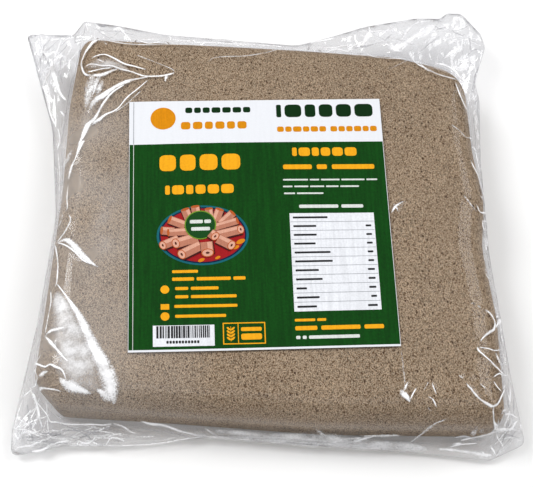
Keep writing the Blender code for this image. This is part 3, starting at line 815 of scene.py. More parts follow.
def place_film(x, y, upper):
    size = np.maximum(np.abs(x), np.abs(y))
    margin = np.clip((size - BLOCK_SHARE) / (1 - BLOCK_SHARE), 0, 1)
    over = size <= BLOCK_SHARE
    inner_x = np.where(over, x / BLOCK_SHARE, x / np.maximum(size, 1e-9))
    inner_y = np.where(over, y / BLOCK_SHARE, y / np.maximum(size, 1e-9))
    block = coons(bread_sides, crowd_to_edge(inner_x), crowd_to_edge(inner_y))
    rim = edge_point(bread_sides, x, y)
    outer = edge_point(bag_sides, x, y)
    flat = np.where(over[:, None], block, rim + (outer[:, :2] - rim) * margin[:, None])
    px = flat[:, 0]
    py = flat[:, 1]
    depth = np.where(over, np.maximum(-distance_to_outline(bread_sides, px, py), 0), 0)
    creased = sum(tent(px, py, *crease) for crease in BAG_CREASES)
    loose = np.clip(margin * 5, 0, 1) * np.clip((1 - margin) * 4, 0, 1)
    near_rim = np.clip(1 - depth / RIM_CREASES, 0, 1)
    if upper:
        top = crown_height(px, py)
        z = SIDE_HEIGHT + (top - SIDE_HEIGHT) * rounded_rim(depth)
        low = SIDE_HEIGHT
        strewn = strewn_tents(px, py, 11)
        lift = creased + loose * strewn + (1 - loose) * near_rim * 0.35 * np.maximum(strewn, 0)
    else:
        z = 1.2 * MM * (1 - rounded_rim(depth * SLUMP)) + 0.3 * MM
        low = 1.5 * MM
        lift = loose * strewn_tents(px, py, 12) * 0.7
    drop = margin ** SAG if upper else margin
    z = np.where(over, z, low + (outer[:, 2] - low) * drop)
    on_seam = margin > 1 - 1e-5  # no crease lifts the seam, where both sheets have to meet
    z = z + lift * np.where(on_seam, 0, 1)
    z = np.maximum(z, LEAST_HEIGHT)
    return np.stack([px, py, z], axis=1)


def rising(value, start, length):
    """0 up to the start, in millimetres, then rising to 1 over the length."""
    return np.clip((value - start * MM) / (length * MM), 0, 1)


def mark_points(piece, name, values):
    """Keeps one number on each point of a piece, for its finish to read."""
    layer = piece.data.attributes.new(name, "FLOAT", "POINT")
    layer.data.foreach_set("value", values.astype(np.float32))


FILM_CELLS = 94
film = pillow("clear_film", FILM_CELLS, place_film)
film_x, film_y, film_z = np.array([vertex.co for vertex in film.data.vertices]).T
from_block = distance_to_outline(bread_sides, film_x, film_y)

# how loose the film is: taut on the block, slack in the margins, clinging to the front wall
slackness = 0.04 + 0.3 * np.clip(1 + from_block / (14 * MM), 0, 1) + from_block / (6 * MM)
slackness = np.clip(slackness, 0.04, 1)
at_front = rising(-film_y, 100, 15) * (np.abs(film_x) < 128 * MM)
clinging = at_front * (from_block > 0) * rising(film_z, 8, 5)
mark_points(film, "slack", slackness * (1 - 0.85 * clinging))

# where many layers lie low and heaped together, at the front and the sides; the film
# gets more haze there, partly from the layers and partly as painted light, and a clearer
# tint, which is painted light, both lifting the margins where the pack's shade falls
lies_low = rising(15 * MM - film_z, 0, 8)
low_film_lightening = np.maximum(rising(-film_y, 20, 100), 0.9 * rising(np.abs(film_x), 110, 20)) * lies_low
mark_points(film, "bunched_and_lightened", low_film_lightening)

# a painted reflection: a faint whitish veil laid on the film down its left half
PAINTED_VEIL = 0.30
painted_veil_rows = rising(film_y, -145, 25) * rising(100 * MM - film_y, 0, 50)
lumps = 0.75 + 0.5 * soft_lumps(film_x, film_y, 50 * MM, 5)
mark_points(film, "painted_veil", PAINTED_VEIL * rising(-film_x, 35, 75) * painted_veil_rows * lumps)

# 1 towards the two ends, 0 towards the two sides
mark_points(film, "ends", np.clip(0.5 + (np.abs(film_y) - np.abs(film_x)) / (24 * MM), 0, 1))
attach(film, "root")
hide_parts("bag")

# %% [markdown]
# ## Fold lines and their painted highlights
# A fold in thin film is a hair-thin ridge that mirrors light from every side. Here that
# light is painted: a white fold line is a painted highlight, and a grey one is painted
# shade in a steep fold, partly two or three layers pressed together. A mesh fine enough
# for such ridges would be huge, so each fold line is a narrow ribbon of its own, a grid
# bent along the path and draped on the film, and all of them are one piece. Two values
# stay on its points: cover, which falls to nothing at the ribbon's edges, and tone,
# from painted shade to painted highlight.

# %% Ribbons along the creases
RIBBON_ROWS = [  # place across the ribbon, and its share of the cover
    (-1.0, 0.0), (-0.66, 0.45), (-0.33, 0.9), (0.0, 1.0), (0.33, 0.9), (0.66, 0.45), (1.0, 0.0),
]
RIBBON_STEP = 1.0  # millimetres along the path
RIBBON_SPREAD = 1.4  # its soft edges make a ribbon look narrower than it is
RIBBON_LIFT = 0.12 * MM
VEIL_TONE = 0.94  # a fold of this tone is a soft veil, a painted reflection, with no specks in it
HIGH_UP = 0.2  # metres; looks straight down from here meet the pack from above


def tree_of(mesh):
    """The mesh sorted, so that it can be asked quickly what lies where."""
    points = [vertex.co for vertex in mesh.vertices]
    return BVHTree.FromPolygons(points, [tuple(face.vertices) for face in mesh.polygons])


def seen_from_above(tree, x, y):
    """The first point of a mesh straight below (x, y, HIGH_UP), or None."""
    return tree.ray_cast(Vector((x, y, HIGH_UP)), Vector((0, 0, -1)))[0]


film_tree = tree_of(film.data)


def film_height(x, y):
    """Height of the film's upper face, or of its nearest edge outside it."""
    hit = seen_from_above(film_tree, x, y)
    return hit.z if hit else film_tree.find_nearest(Vector((x, y, 10 * MM)))[0].z


def smooth_run(path):
    """The path as evenly spaced points on a smooth curve through its own points."""
    points = np.array(path, float)
    padded = np.concatenate([[2 * points[0] - points[1]], points, [2 * points[-1] - points[-2]]])
    run = []
    for i in range(1, len(padded) - 2):
        before, start, end, after = padded[i - 1 : i + 3]
        steps = max(1, round(np.hypot(*(end - start)[:2]) / RIBBON_STEP))
        for share in np.arange(steps) / steps:
            pull_in = (end - before) * 0.5
            pull_out = (after - start) * 0.5
            rest = share * share * (3 - 2 * share)
            curve = start + (end - start) * rest
            curve = curve + pull_in * (share * (1 - share) ** 2)
            run.append(curve - pull_out * (share * share * (1 - share)))
    run.append(points[-1])
    return np.array(run)


# the ribbons of these stray creases are painted glints where white and painted shade where grey
stray_folds = []  # the finest creases of the margins are strewn like the tents
stray_dice = np.random.RandomState(31)
for mid_x, mid_y, spread_x, spread_y, main, spread, count, height in LOOSE_REGIONS:
    for _ in range(round(count * 0.8)):
        x = stray_dice.normal(mid_x, spread_x * 0.7)
        y = stray_dice.normal(mid_y, spread_y * 0.7)
        at = np.array([x, y])
        turn = math.radians(stray_dice.normal(main, spread))
        half = stray_dice.uniform(4, 15) * np.array([math.cos(turn), math.sin(turn)])
        bow = stray_dice.normal(0, 0.09) * np.array([-half[1], half[0]])
        wide = stray_dice.uniform(0.25, 0.7)
        run = [(*(at - half), 0.2), (*(at + bow), wide), (*(at + half), 0.2)]
        tone = 1 if stray_dice.uniform() < 0.68 else stray_dice.uniform(0.2, 0.5)
        on_film = all(seen_from_above(film_tree, x * MM, y * MM) for x, y, _ in run)
        from_bread = distance_to_outline(bread_sides, at[:1] * MM, at[1:] * MM)[0]
        if on_film and from_bread >= 1 * MM:
            stray_folds.append((tone, stray_dice.uniform(0.35, 0.95), run))

fold_shape = bmesh.new()
cover_layer = fold_shape.verts.layers.float.new("cover")
tone_layer = fold_shape.verts.layers.float.new("tone")
for tone, cover, path in FOLDS_AND_PAINTED_LIGHT + stray_folds:
    run = smooth_run(path)
    ahead = np.gradient(run[:, :2], axis=0)
    ahead /= np.maximum(np.linalg.norm(ahead, axis=1), 1e-9)[:, None]
    last = len(run) - 1
    rows = len(RIBBON_ROWS) - 1
    ribbon = bmesh.ops.create_grid(fold_shape, x_segments=last, y_segments=rows, size=1)["verts"]
    for vertex in ribbon:
        at = round((vertex.co.x + 1) / 2 * last)
        row = round((vertex.co.y + 1) / 2 * rows)
        across, share = RIBBON_ROWS[row]
        reach = max(run[at][2], 0.2) * RIBBON_SPREAD * across
        x = (run[at][0] - ahead[at][1] * reach) * MM
        y = (run[at][1] + ahead[at][0] * reach) * MM
        rise = 0.25 * MM * min(run[at][2], 1.0) * (1 - across * across)
        end_fade = min(1.0, 0.3 + min(at, last - at) / (2.5 + 1.8 * run[at][2]))
        vertex.co = Vector((x, y, film_height(x, y) + RIBBON_LIFT + rise))
        vertex[cover_layer] = cover * share * end_fade
        vertex[tone_layer] = tone
fold_mesh = bpy.data.meshes.new("painted_fold_lines")
fold_shape.to_mesh(fold_mesh)
fold_shape.free()
fold_mesh.shade_smooth()
painted_fold_lines = bpy.data.objects.new("painted_fold_lines", fold_mesh)
bpy.context.scene.collection.objects.link(painted_fold_lines)
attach(painted_fold_lines, "root")
print("stray folds:", len(stray_folds), "ribbon faces:", len(fold_mesh.polygons))

# %% [markdown]
# ## The label
# The label is coated paper, stuck on the film, and it follows the crown of the pack. Its
# sheet is a grid draped on the measured label solid by looking straight down for the
# height, which keeps it in place to a fraction of a millimetre.

# %% Paper of the label
LABEL_MIDDLE = Vector((-5.5 * MM, -14.0 * MM))
LABEL_WIDTH = 165 * MM
LABEL_DEPTH = 173 * MM
EDGE_INSET = 0.5 * MM  # the outermost points are measured a little inside the label's edge
label_tree = tree_of(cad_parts["label"].data)


def label_height(x, y):
    """Height of the label's upper face at a place in the frame."""
    half_width = LABEL_WIDTH / 2 - EDGE_INSET
    half_depth = LABEL_DEPTH / 2 - EDGE_INSET
    x = min(max(x, LABEL_MIDDLE.x - half_width), LABEL_MIDDLE.x + half_width)
    y = min(max(y, LABEL_MIDDLE.y - half_depth), LABEL_MIDDLE.y + half_depth)
    return seen_from_above(label_tree, x, y).z


def drape(name, shape, lift):
    """Lays a flat drawing, in millimetres from the label's middle, on the label."""
    for vertex in shape.verts:
        x = vertex.co.x * MM + LABEL_MIDDLE.x
        y = vertex.co.y * MM + LABEL_MIDDLE.y
        vertex.co = Vector((x, y, label_height(x, y) + lift * MM + vertex.co.z * MM))
    bmesh.ops.recalc_face_normals(shape, faces=shape.faces)
    down = [face for face in shape.faces if face.normal.z < 0]
    mesh = bpy.data.meshes.new(name)
    shape.to_mesh(mesh)
    shape.free()
    if down and len(down) == len(mesh.polygons):
        mesh.flip_normals()
    piece = bpy.data.objects.new(name, mesh)
    bpy.context.scene.collection.objects.link(piece)
    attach(piece, "root")
    return piece


def placed(x, y, z, turn, width, height):
    """The matrix that puts a unit shape, sized, turned and raised, at (x, y)."""
    turned = Matrix.Rotation(math.radians(turn), 4, "Z")
    return Matrix.Translation((x, y, z)) @ turned @ Matrix.Diagonal((width, height, 1, 1))


def add_block(shape, x, y, width, height, turn=0.0, cell=8.0, rounding=0.0, raised=0.0):
    """Adds a rectangle centred on (x, y), fine enough to bend with the label."""
    across = max(1, math.ceil(width / cell))
    along_it = max(1, math.ceil(height / cell))
    place = placed(x, y, raised, turn, width, height)
    made = bmesh.ops.create_grid(shape, x_segments=across, y_segments=along_it, size=0.5, matrix=place)
    if rounding:
        corners = [vertex for vertex in made["verts"] if len(vertex.link_edges) == 2]
        reach = rounding * min(width / across, height / along_it)
        bmesh.ops.bevel(
            shape, geom=corners, offset=reach, segments=3, profile=0.5, affect="VERTICES", material=-1
        )


def add_disc(shape, x, y, radius_x, radius_y=None, turn=0.0, sides=40, raised=0.0):
    """Adds a round or oval spot."""
    place = placed(x, y, raised, turn, radius_x, radius_y or radius_x)
    bmesh.ops.create_circle(shape, cap_ends=True, cap_tris=True, segments=sides, radius=1, matrix=place)


paper_shape = bmesh.new()
add_block(paper_shape, 0, 0, LABEL_WIDTH / MM, LABEL_DEPTH / MM, cell=6)
PAPER_LIFT = -0.15  # millimetres; the paper's face lies this much under the solid's
paper = drape("label_paper", paper_shape, PAPER_LIFT)
paper_edge = paper.modifiers.new("thickness", "SOLIDIFY")
paper_edge.thickness = 0.2 * MM
paper_edge.offset = -1
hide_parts("label")
print("label faces:", len(paper.data.polygons))

# %% [markdown]
# ## The print
# The label's print is drawn as thin fields of ink that lie on the paper, one mesh for
# each ink. Words are plain bars here, so that the pack stays free of any name: a line
# of print is a row of bars as long as its words.

# %% Inks and where they lie
INK_LIFT = 0.05  # millimetres between one layer of ink and the next
LAYERS = {  # which inks lie over which
    "green": 1, "yellow": 2, "orange": 1, "dark_green": 1, "white": 2, "panel": 2, "grey": 3,
    "black": 3, "rim": 2, "rim_line": 3, "tray": 4, "spice": 5, "roll_shade": 6, "roll": 6,
    "roll_light": 6, "roll_end": 6, "roll_core": 6, "sign_rim": 14, "sign_face": 15, "sign_words": 16,
}
ink = {name: bmesh.new() for name in LAYERS}


def words(shape, left, middle, height, lengths, gap):
    """A line of print: bars of these lengths with a gap between them."""
    x = left
    for length in lengths:
        add_block(shape, x + length / 2, middle, length, height, cell=14, rounding=0.3)
        x += length + gap


add_block(ink["green"], 0, -15.3, 164.4, 139.8, cell=4)
add_block(ink["white"], -79.6, -15.3, 0.35, 139.6)
add_block(ink["grey"], -79.6, 70.5, 0.35, 31)

# heading on white
add_disc(ink["orange"], -60.5, 73.5, 8.2)
words(ink["orange"], -49, 67.8, 5.6, [6.2, 6.2, 5.2, 6.0, 5.2, 6.0], 1.6)
words(ink["dark_green"], -46, 79.3, 4.2, [4.6, 4.4, 4.6, 5.8, 5.6, 5.6, 4.8], 1.2)
words(ink["dark_green"], 13.6, 78.0, 9.6, [3.2, 11.0, 7.0, 9.0, 10.0, 12.0], 2.3)
words(ink["orange"], 13.6, 64.2, 4.0, [4.4, 4.2, 5.6, 4.2, 4.8, 4.4], 0.9)
words(ink["orange"], 48.6, 64.2, 4.0, [4.4, 4.2, 4.2, 4.8, 4.0, 4.4], 0.9)

# headings on green
words(ink["yellow"], -63.0, 40.6, 11.5, [10.5, 10.0, 11.5, 12.0], 2.6)
words(ink["yellow"], -59.5, 21.3, 6.4, [3.0, 7.6, 4.6, 6.4, 7.2, 8.0], 1.35)
words(ink["yellow"], 22.6, 47.3, 6.2, [3.0, 7.4, 4.6, 6.2, 7.0, 7.8], 1.2)
words(ink["yellow"], 16.2, 36.3, 3.4, [18.6, 6.6, 27.6], 3.2)
words(ink["white"], 15.8, 27.0, 1.1, [16, 6, 12, 15, 7], 1.2)
words(ink["white"], 15.6, 22.2, 1.1, [6, 9, 9, 8, 12], 1.2)
words(ink["white"], 16.0, 17.3, 1.1, [7, 17], 1.2)
words(ink["white"], 25.2, 8.1, 2.3, [25, 14], 2.0)

# address lines, their signs, and the lines under the panel
words(ink["yellow"], -55.6, -34.9, 1.9, [16], 1.2)
words(ink["yellow"], -55.6, -39.9, 2.2, [13.5, 21, 7.5], 1.6)
words(ink["yellow"], -53.8, -46.1, 2.0, [8, 17], 1.6)
words(ink["yellow"], -53.8, -51.5, 2.0, [8, 28], 1.6)
words(ink["yellow"], -54.4, -57.7, 1.9, [38.5], 1.4)
words(ink["yellow"], -54.0, -64.1, 1.9, [31], 1.4)
add_disc(ink["yellow"], -60.1, -46.6, 2.7)
add_block(ink["yellow"], -60.1, -57.9, 5.2, 3.6)
add_disc(ink["yellow"], -60.1, -64.1, 2.7)
words(ink["yellow"], 18.8, -68.3, 1.7, [12.5, 5.5], 1.2)
words(ink["yellow"], 18.8, -73.5, 2.7, [13.5, 24, 12], 2.4)
words(ink["white"], 19.1, -79.4, 2.1, [2.6, 2.4, 31], 1.4)

# the panel of figures
PANEL_LEFT = 18.8
PANEL_RIGHT = 72.5
PANEL_TOP = 3.3
ROW_HEIGHT = 6.0
ROW_WORDS = [22, 14.5, 14.5, 13.5, 22.5, 23.5, 14.5, 16.5, 6.5, 14, 12]  # length of each row's words
ROW_VALUES = [0, 3.6, 3.6, 3.6, 3.6, 3.6, 4.4, 4.4, 4.4, 3.6, 6.0]  # and of the value at its right
panel_middle = (PANEL_LEFT + PANEL_RIGHT) / 2
panel_width = PANEL_RIGHT - PANEL_LEFT
panel_height = len(ROW_WORDS) * ROW_HEIGHT
add_block(ink["panel"], panel_middle, PANEL_TOP - panel_height / 2, panel_width, panel_height, cell=4)
for row, (length, value) in enumerate(zip(ROW_WORDS, ROW_VALUES)):
    middle = PANEL_TOP - (row + 0.5) * ROW_HEIGHT
    words(ink["black"], PANEL_LEFT + 2.0, middle, 1.35, [length], 1.0)
    if value:
        add_block(ink["grey"], panel_middle, middle + ROW_HEIGHT / 2, panel_width - 0.6, 0.35)
        words(ink["black"], PANEL_RIGHT - 2.2 - value, middle, 1.35, [value], 1.0)

# the bar code and the framed sign beside it
add_block(ink["panel"], -48.9, -76.6, 37.2, 13.4, cell=4)
bar_dice = np.random.RandomState(5)
x = -65.4
while x < -33.0:
    width = bar_dice.choice([0.4, 0.6, 0.9, 1.3])
    add_block(ink["black"], x + width / 2, -74.2, width, 7.8)
    x += width + bar_dice.choice([0.35, 0.45, 0.65])
words(ink["black"], -59.4, -80.6, 1.8, [1.4] * 11, 0.45)
SIGN_LINES = [  # x, y, width and height of the lines that frame and divide the sign
    (-12.3, -69.2, 25.6, 0.7),
    (-12.3, -82.4, 25.6, 0.7),
    (-24.9, -75.8, 0.7, 13.9),
    (0.3, -75.8, 0.7, 13.9),
    (-15.9, -75.8, 0.5, 12.6),
]
for line in SIGN_LINES:
    add_block(ink["yellow"], *line)
words(ink["yellow"], -14.2, -73.2, 2.5, [12.6], 1.0)
words(ink["yellow"], -14.2, -78.0, 3.9, [12.6], 1.0)
for rise in range(4):
    for hand in (-1, 1):
        add_disc(ink["yellow"], -20.4 + hand * 1.3, -79.0 + rise * 2.1, 1.5, 0.65, turn=hand * 42, sides=14)
add_block(ink["yellow"], -20.4, -76.0, 0.35, 9.5)

# the dish of rolls and the round sign over it
DISH_X = -36.2
DISH_Y = -10.6
add_disc(ink["rim"], DISH_X, DISH_Y, 28.8, 20.4, sides=64)
add_disc(ink["rim_line"], DISH_X, DISH_Y, 27.3, 19.1, sides=64)
add_disc(ink["tray"], DISH_X, DISH_Y, 26.3, 18.2, sides=64)
SPICES = [(23.5, -5.0, 3.0), (20.5, -8.8, 2.2), (-1.2, -17.0, 2.2), (-13, -14, 1.8), (9, -15.5, 1.8)]
for spice_x, spice_y, radius in SPICES:
    add_disc(ink["spice"], DISH_X + spice_x, DISH_Y + spice_y, radius, radius * 0.5, turn=25, sides=18)
ROLLS = [  # the end that faces out x, y, the far end x, y, width, and whether the end shows
    (-47.0, 7.3, -44.2, -1.0, 5.4, False),
    (-40.7, 9.1, -39.7, 2.0, 5.4, False),
    (-32.2, 7.3, -31.6, 1.0, 5.0, False),
    (-25.2, 6.6, -28.6, -3.0, 5.4, False),
    (-17.1, 3.9, -25.0, -3.4, 5.2, False),
    (-56.8, 0.4, -47.0, -3.8, 5.6, False),
    (-61.8, -7.0, -54.0, -7.8, 5.4, False),
    (-57.7, -8.5, -45.6, -8.0, 5.0, False),
    (-14.3, -1.5, -29.0, -5.7, 4.8, False),
    (-12.4, -7.5, -27.3, -11.0, 5.8, True),
    (-61.2, -17.2, -51.2, -13.0, 5.8, True),
    (-53.1, -16.1, -39.7, -12.2, 6.6, True),
    (-18.4, -18.2, -26.9, -13.4, 6.4, True),
    (-49.5, -23.7, -37.5, -17.6, 6.6, True),
    (-33.4, -23.0, -34.1, -15.6, 7.6, True),
    (-28.5, -12.0, -31.5, -9.5, 6.0, True),
]
ROLL_RISE = 0.03  # each roll lies this much over the one before, and its parts share that rise
ROLL_CELL = 2.5


def add_roll(rise, end_x, end_y, far_x, far_y, width, shows_end):
    """One roll: a shade under it, its body, the light along its upper side, and its end."""
    turn = math.degrees(math.atan2(end_y - far_y, end_x - far_x))
    slant = math.radians(turn)
    length = math.hypot(end_x - far_x, end_y - far_y)
    roll_x = (end_x + far_x) / 2
    roll_y = (end_y + far_y) / 2
    step = ROLL_RISE / 5

    def bar(name, x, y, bar_length, bar_width, steps):
        add_block(ink[name], x, y, bar_length, bar_width, turn, ROLL_CELL, raised=rise + steps * step)

    def ring(name, thick, high, steps, sides=24):
        raised = rise + steps * step
        add_disc(ink[name], end_x, end_y, width * thick, width * high, turn, sides, raised)

    bar("roll_shade", roll_x + 0.2, roll_y - 0.6, length + 0.8, width + 0.9, 0)
    bar("roll", roll_x, roll_y, length, width, 1)
    up = 0.24 * width if math.cos(slant) > 0 else -0.24 * width
    light_x = roll_x - up * math.sin(slant)
    light_y = roll_y + up * math.cos(slant)
    bar("roll_light", light_x, light_y, length * 0.94, width * 0.36, 2)
    ring("roll_end", 0.38 if shows_end else 0.16, 0.52, 3)
    if shows_end:
        ring("roll_light", 0.30, 0.43, 4)
        ring("roll_core", 0.10, 0.17, 4.5, sides=14)


for order, roll in enumerate(ROLLS):
    add_roll(order * ROLL_RISE, *roll)
add_disc(ink["sign_rim"], -37.6, -3.9, 9.9, sides=48)
add_disc(ink["sign_face"], -37.6, -3.9, 9.2, sides=48)
words(ink["sign_words"], -44.2, -1.6, 2.4, [8.2, 4.2], 0.9)
words(ink["sign_words"], -43.4, -6.6, 2.4, [11.8], 0.9)

print_pieces = {}
for name, shape in ink.items():
    print_pieces[name] = drape("print_" + name, shape, PAPER_LIFT + INK_LIFT * LAYERS[name])
print("ink pieces:", len(print_pieces))

# %% [markdown]
# ## Finishes
# Three kinds of surface: a matt, spongy crust full of tiny pores, a clear film that
# shows mostly by what it mirrors, and coated paper. Each is a small tree of nodes that
# reads object coordinates, in metres, so that a scale of 400 means 400 cells a metre.

# %% Helpers for node trees
def linear(red, green, blue):
    """A screen colour from 0 to 255 as the linear colour that nodes expect."""
    shares = [value / 255 for value in (red, green, blue)]
    bent = [((c + 0.055) / 1.055) ** 2.4 if c > 10 / 255 else c / 12.92 for c in shares]
    return (*bent, 1.0)


def new_finish(name):
    finish = bpy.data.materials.new(name)
    finish.use_nodes = True
    tree = finish.node_tree
    tree.nodes.clear()
    output = tree.nodes.new("ShaderNodeOutputMaterial")
    return finish, tree, output


def node(tree, kind, **settings):
    made = tree.nodes.new(kind)
    for key, value in settings.items():
        setattr(made, key, value)
    return made


def curve_of(tree, value, low, high, out_low, out_high):
    """Maps a value from one range to another, held at the ends."""
    ramp = node(tree, "ShaderNodeMapRange", interpolation_type="SMOOTHSTEP")
    tree.links.new(value, ramp.inputs["Value"])
    for key, number in zip(("From Min", "From Max", "To Min", "To Max"), (low, high, out_low, out_high)):
        ramp.inputs[key].default_value = number
    return ramp.outputs["Result"]


def noise_of(tree, where, scale, detail=None, roughness=None):
    """A noise texture laid on the given place."""
    made = node(tree, "ShaderNodeTexNoise")
    made.inputs["Scale"].default_value = scale
    if detail is not None:
        made.inputs["Detail"].default_value = detail
    if roughness is not None:
        made.inputs["Roughness"].default_value = roughness
    tree.links.new(where, made.inputs["Vector"])
    return made


def shifted_place(tree, where, by, reach):
    """The place, moved by a noise's colour over the given reach in metres."""
    moved = node(tree, "ShaderNodeVectorMath", operation="MULTIPLY_ADD")
    moved.inputs[1].default_value = (reach, reach, reach)
    tree.links.new(by.outputs["Color"], moved.inputs[0])
    tree.links.new(where, moved.inputs[2])
    return moved.outputs[0]


def blended(tree, amount, first, second):
    """Two shaders mixed; the amount, a number or a socket, is the share of the second."""
    mix = node(tree, "ShaderNodeMixShader")
    if isinstance(amount, float):
        mix.inputs[0].default_value = amount
    else:
        tree.links.new(amount, mix.inputs[0])
    tree.links.new(first.outputs[0], mix.inputs[1])
    tree.links.new(second.outputs[0], mix.inputs[2])
    return mix


def arithmetic(tree, operation, first, second):
    made = node(tree, "ShaderNodeMath", operation=operation)
    for socket, value in zip(made.inputs, (first, second)):
        if isinstance(value, (int, float)):
            socket.default_value = value
        else:
            tree.links.new(value, socket)
    return made.outputs[0]


# %% [markdown]
# ### Crust of the bread
# Bubbles burst on top of the batter as it bakes and leave pores 1 mm across, a few
# millimetres apart, with paler ridges between them. The pores are painted dark, which is
# painted shade inside the holes. A Voronoi texture gives each pore its own cell, and only
# some cells get a deep one. Noise adds the grain in between.

# %% Spongy crust
crust, tree, output = new_finish("spongy_crust")
where = node(tree, "ShaderNodeTexCoord").outputs["Object"]
wobble = noise_of(tree, where, 600, detail=2)
drawn = node(tree, "ShaderNodeMapping")  # the batter is poured in a spiral, which draws pores out
drawn.inputs["Rotation"].default_value = (0, 0, math.radians(35))
drawn.inputs["Scale"].default_value = (1.0, 0.72, 0.85)
tree.links.new(shifted_place(tree, where, wobble, 0.8 * MM), drawn.inputs["Vector"])


def spots(scale, radius, share, offset=0.0):
    """1 in the middle of round spots, of a radius in millimetres; only a share of cells has one."""
    cells = node(tree, "ShaderNodeTexVoronoi")
    cells.inputs["Scale"].default_value = scale
    moved = node(tree, "ShaderNodeMapping")
    moved.inputs["Location"].default_value = (offset, offset, offset)
    tree.links.new(drawn.outputs[0], moved.inputs["Vector"])
    tree.links.new(moved.outputs[0], cells.inputs["Vector"])
    size = radius * MM * scale
    hole = curve_of(tree, cells.outputs["Distance"], size * 0.35, size, 1, 0)
    parts = node(tree, "ShaderNodeSeparateColor")
    tree.links.new(cells.outputs["Color"], parts.inputs[0])
    chosen = curve_of(tree, parts.outputs[0], 1 - share - 0.06, 1 - share + 0.06, 0, 1)
    return arithmetic(tree, "MULTIPLY", hole, chosen)


def painted(below, colour, amount, strength):
    """Lays a colour over what is below, where amount says so."""
    mix = node(tree, "ShaderNodeMix", data_type="RGBA")
    mix.inputs["B"].default_value = colour
    tree.links.new(arithmetic(tree, "MULTIPLY", amount, strength), mix.inputs["Factor"])
    tree.links.new(below, mix.inputs["A"])
    return mix.outputs["Result"]


deep_pores = spots(360, 0.82, 0.40)
middle_pores = spots(860, 0.54, 0.75, 0.31)
fine_pores = spots(1350, 0.34, 0.80, 0.57)
pale_specks = spots(1300, 0.36, 0.70, 0.83)
grain = noise_of(tree, drawn.outputs[0], 2000, detail=2, roughness=0.6)
patches = noise_of(tree, where, 22, detail=3)
grain_light = curve_of(tree, grain.outputs["Fac"], 0.32, 0.68, -0.72, 0.72)
patch_light = curve_of(tree, patches.outputs["Fac"], 0.3, 0.7, 0.94, 1.06)
light_value = arithmetic(tree, "MULTIPLY", arithmetic(tree, "ADD", grain_light, 1.0), patch_light)
base_mix = node(tree, "ShaderNodeMix", data_type="RGBA", blend_type="MULTIPLY")
base_mix.inputs["Factor"].default_value = 1.0
base_mix.inputs["A"].default_value = linear(148, 129, 107)
tree.links.new(light_value, base_mix.inputs["B"])
colour = painted(base_mix.outputs["Result"], linear(196, 180, 158), pale_specks, 0.55)
# painted shade: the fine, middle and deep pores are painted darker, for the shade inside the holes
colour = painted(colour, linear(88, 58, 27), fine_pores, 0.65)
colour = painted(colour, linear(80, 50, 21), middle_pores, 0.95)
colour = painted(colour, linear(56, 31, 9), deep_pores, 0.95)
holes = arithmetic(tree, "MAXIMUM", deep_pores, arithmetic(tree, "MULTIPLY", middle_pores, 0.6))
relief = arithmetic(tree, "SUBTRACT", curve_of(tree, grain.outputs["Fac"], 0.2, 0.8, 0, 0.5), holes)
bump = node(tree, "ShaderNodeBump")
bump.inputs["Strength"].default_value = 0.6
bump.inputs["Distance"].default_value = 0.0005
tree.links.new(relief, bump.inputs["Height"])
shader = node(tree, "ShaderNodeBsdfPrincipled")
shader.inputs["Specular IOR Level"].default_value = 0.1
tree.links.new(colour, shader.inputs["Base Color"])
tree.links.new(curve_of(tree, grain.outputs["Fac"], 0.3, 0.7, 0.95, 0.75), shader.inputs["Roughness"])
tree.links.new(bump.outputs["Normal"], shader.inputs["Normal"])
tree.links.new(shader.outputs[0], output.inputs["Surface"])
bread.data.materials.append(crust)
print("crust nodes:", len(tree.nodes))

# %% [markdown]
# ### Film
# Thin film lets light straight through and mirrors a little of it, more at a glancing
# angle. So it is a mix of Transparent and Glossy, steered by how the surface faces the
# eye. A Fresnel node would do that for a solid block of plastic, but on a film it shuts
# the light in, because it takes the inside of the bag for the inside of the plastic.
# Loose film also scatters light, so a share of it is Diffuse, for light from the front,
# and Translucent, for light from behind. Where many layers lie low and heaped together
# at the front and the sides, that haze is raised, partly from the layers and partly as
# painted light, and the film is made clearer, which is painted light too: both lift the
# margins where the pack's shade falls. Down the left half a whitish veil is laid on the
# film, a painted reflection. Wrinkles too small for the mesh come from a bump, weak where
# the film is taut. The numbers kept on the film's points say where it is slack, where it
# lies low and takes that painted light, and where the painted veil lies.

# %% Clear film
film_finish, tree, output = new_finish("clear_film")
where = node(tree, "ShaderNodeTexCoord").outputs["Object"]
slack = node(tree, "ShaderNodeAttribute", attribute_name="slack").outputs["Fac"]
bunched_and_lightened = node(tree, "ShaderNodeAttribute", attribute_name="bunched_and_lightened").outputs["Fac"]
painted_veil = node(tree, "ShaderNodeAttribute", attribute_name="painted_veil").outputs["Fac"]
ends = node(tree, "ShaderNodeAttribute", attribute_name="ends").outputs["Fac"]
twist = noise_of(tree, where, 45, detail=2)
bent = shifted_place(tree, where, twist, 16 * MM)


def facets(scale, turn, stretch):
    """Crumpled film: a heap of long facets, each with its own tilt."""
    lie = node(tree, "ShaderNodeMapping")
    lie.inputs["Rotation"].default_value = (0, 0, math.radians(turn))
    lie.inputs["Scale"].default_value = (1.0, stretch, 0.6)
    tree.links.new(bent, lie.inputs["Vector"])
    cells = node(tree, "ShaderNodeTexVoronoi")
    cells.inputs["Scale"].default_value = scale
    tree.links.new(lie.outputs[0], cells.inputs["Vector"])
    return cells.outputs["Distance"]


def along_sides(scale, stretch, turn):
    """Facets that run along the nearest side of the pack."""
    choice = node(tree, "ShaderNodeMix", data_type="FLOAT")
    tree.links.new(ends, choice.inputs["Factor"])
    tree.links.new(facets(scale, turn, stretch), choice.inputs["A"])
    tree.links.new(facets(scale, 90 + turn, stretch), choice.inputs["B"])
    return choice.outputs["Result"]


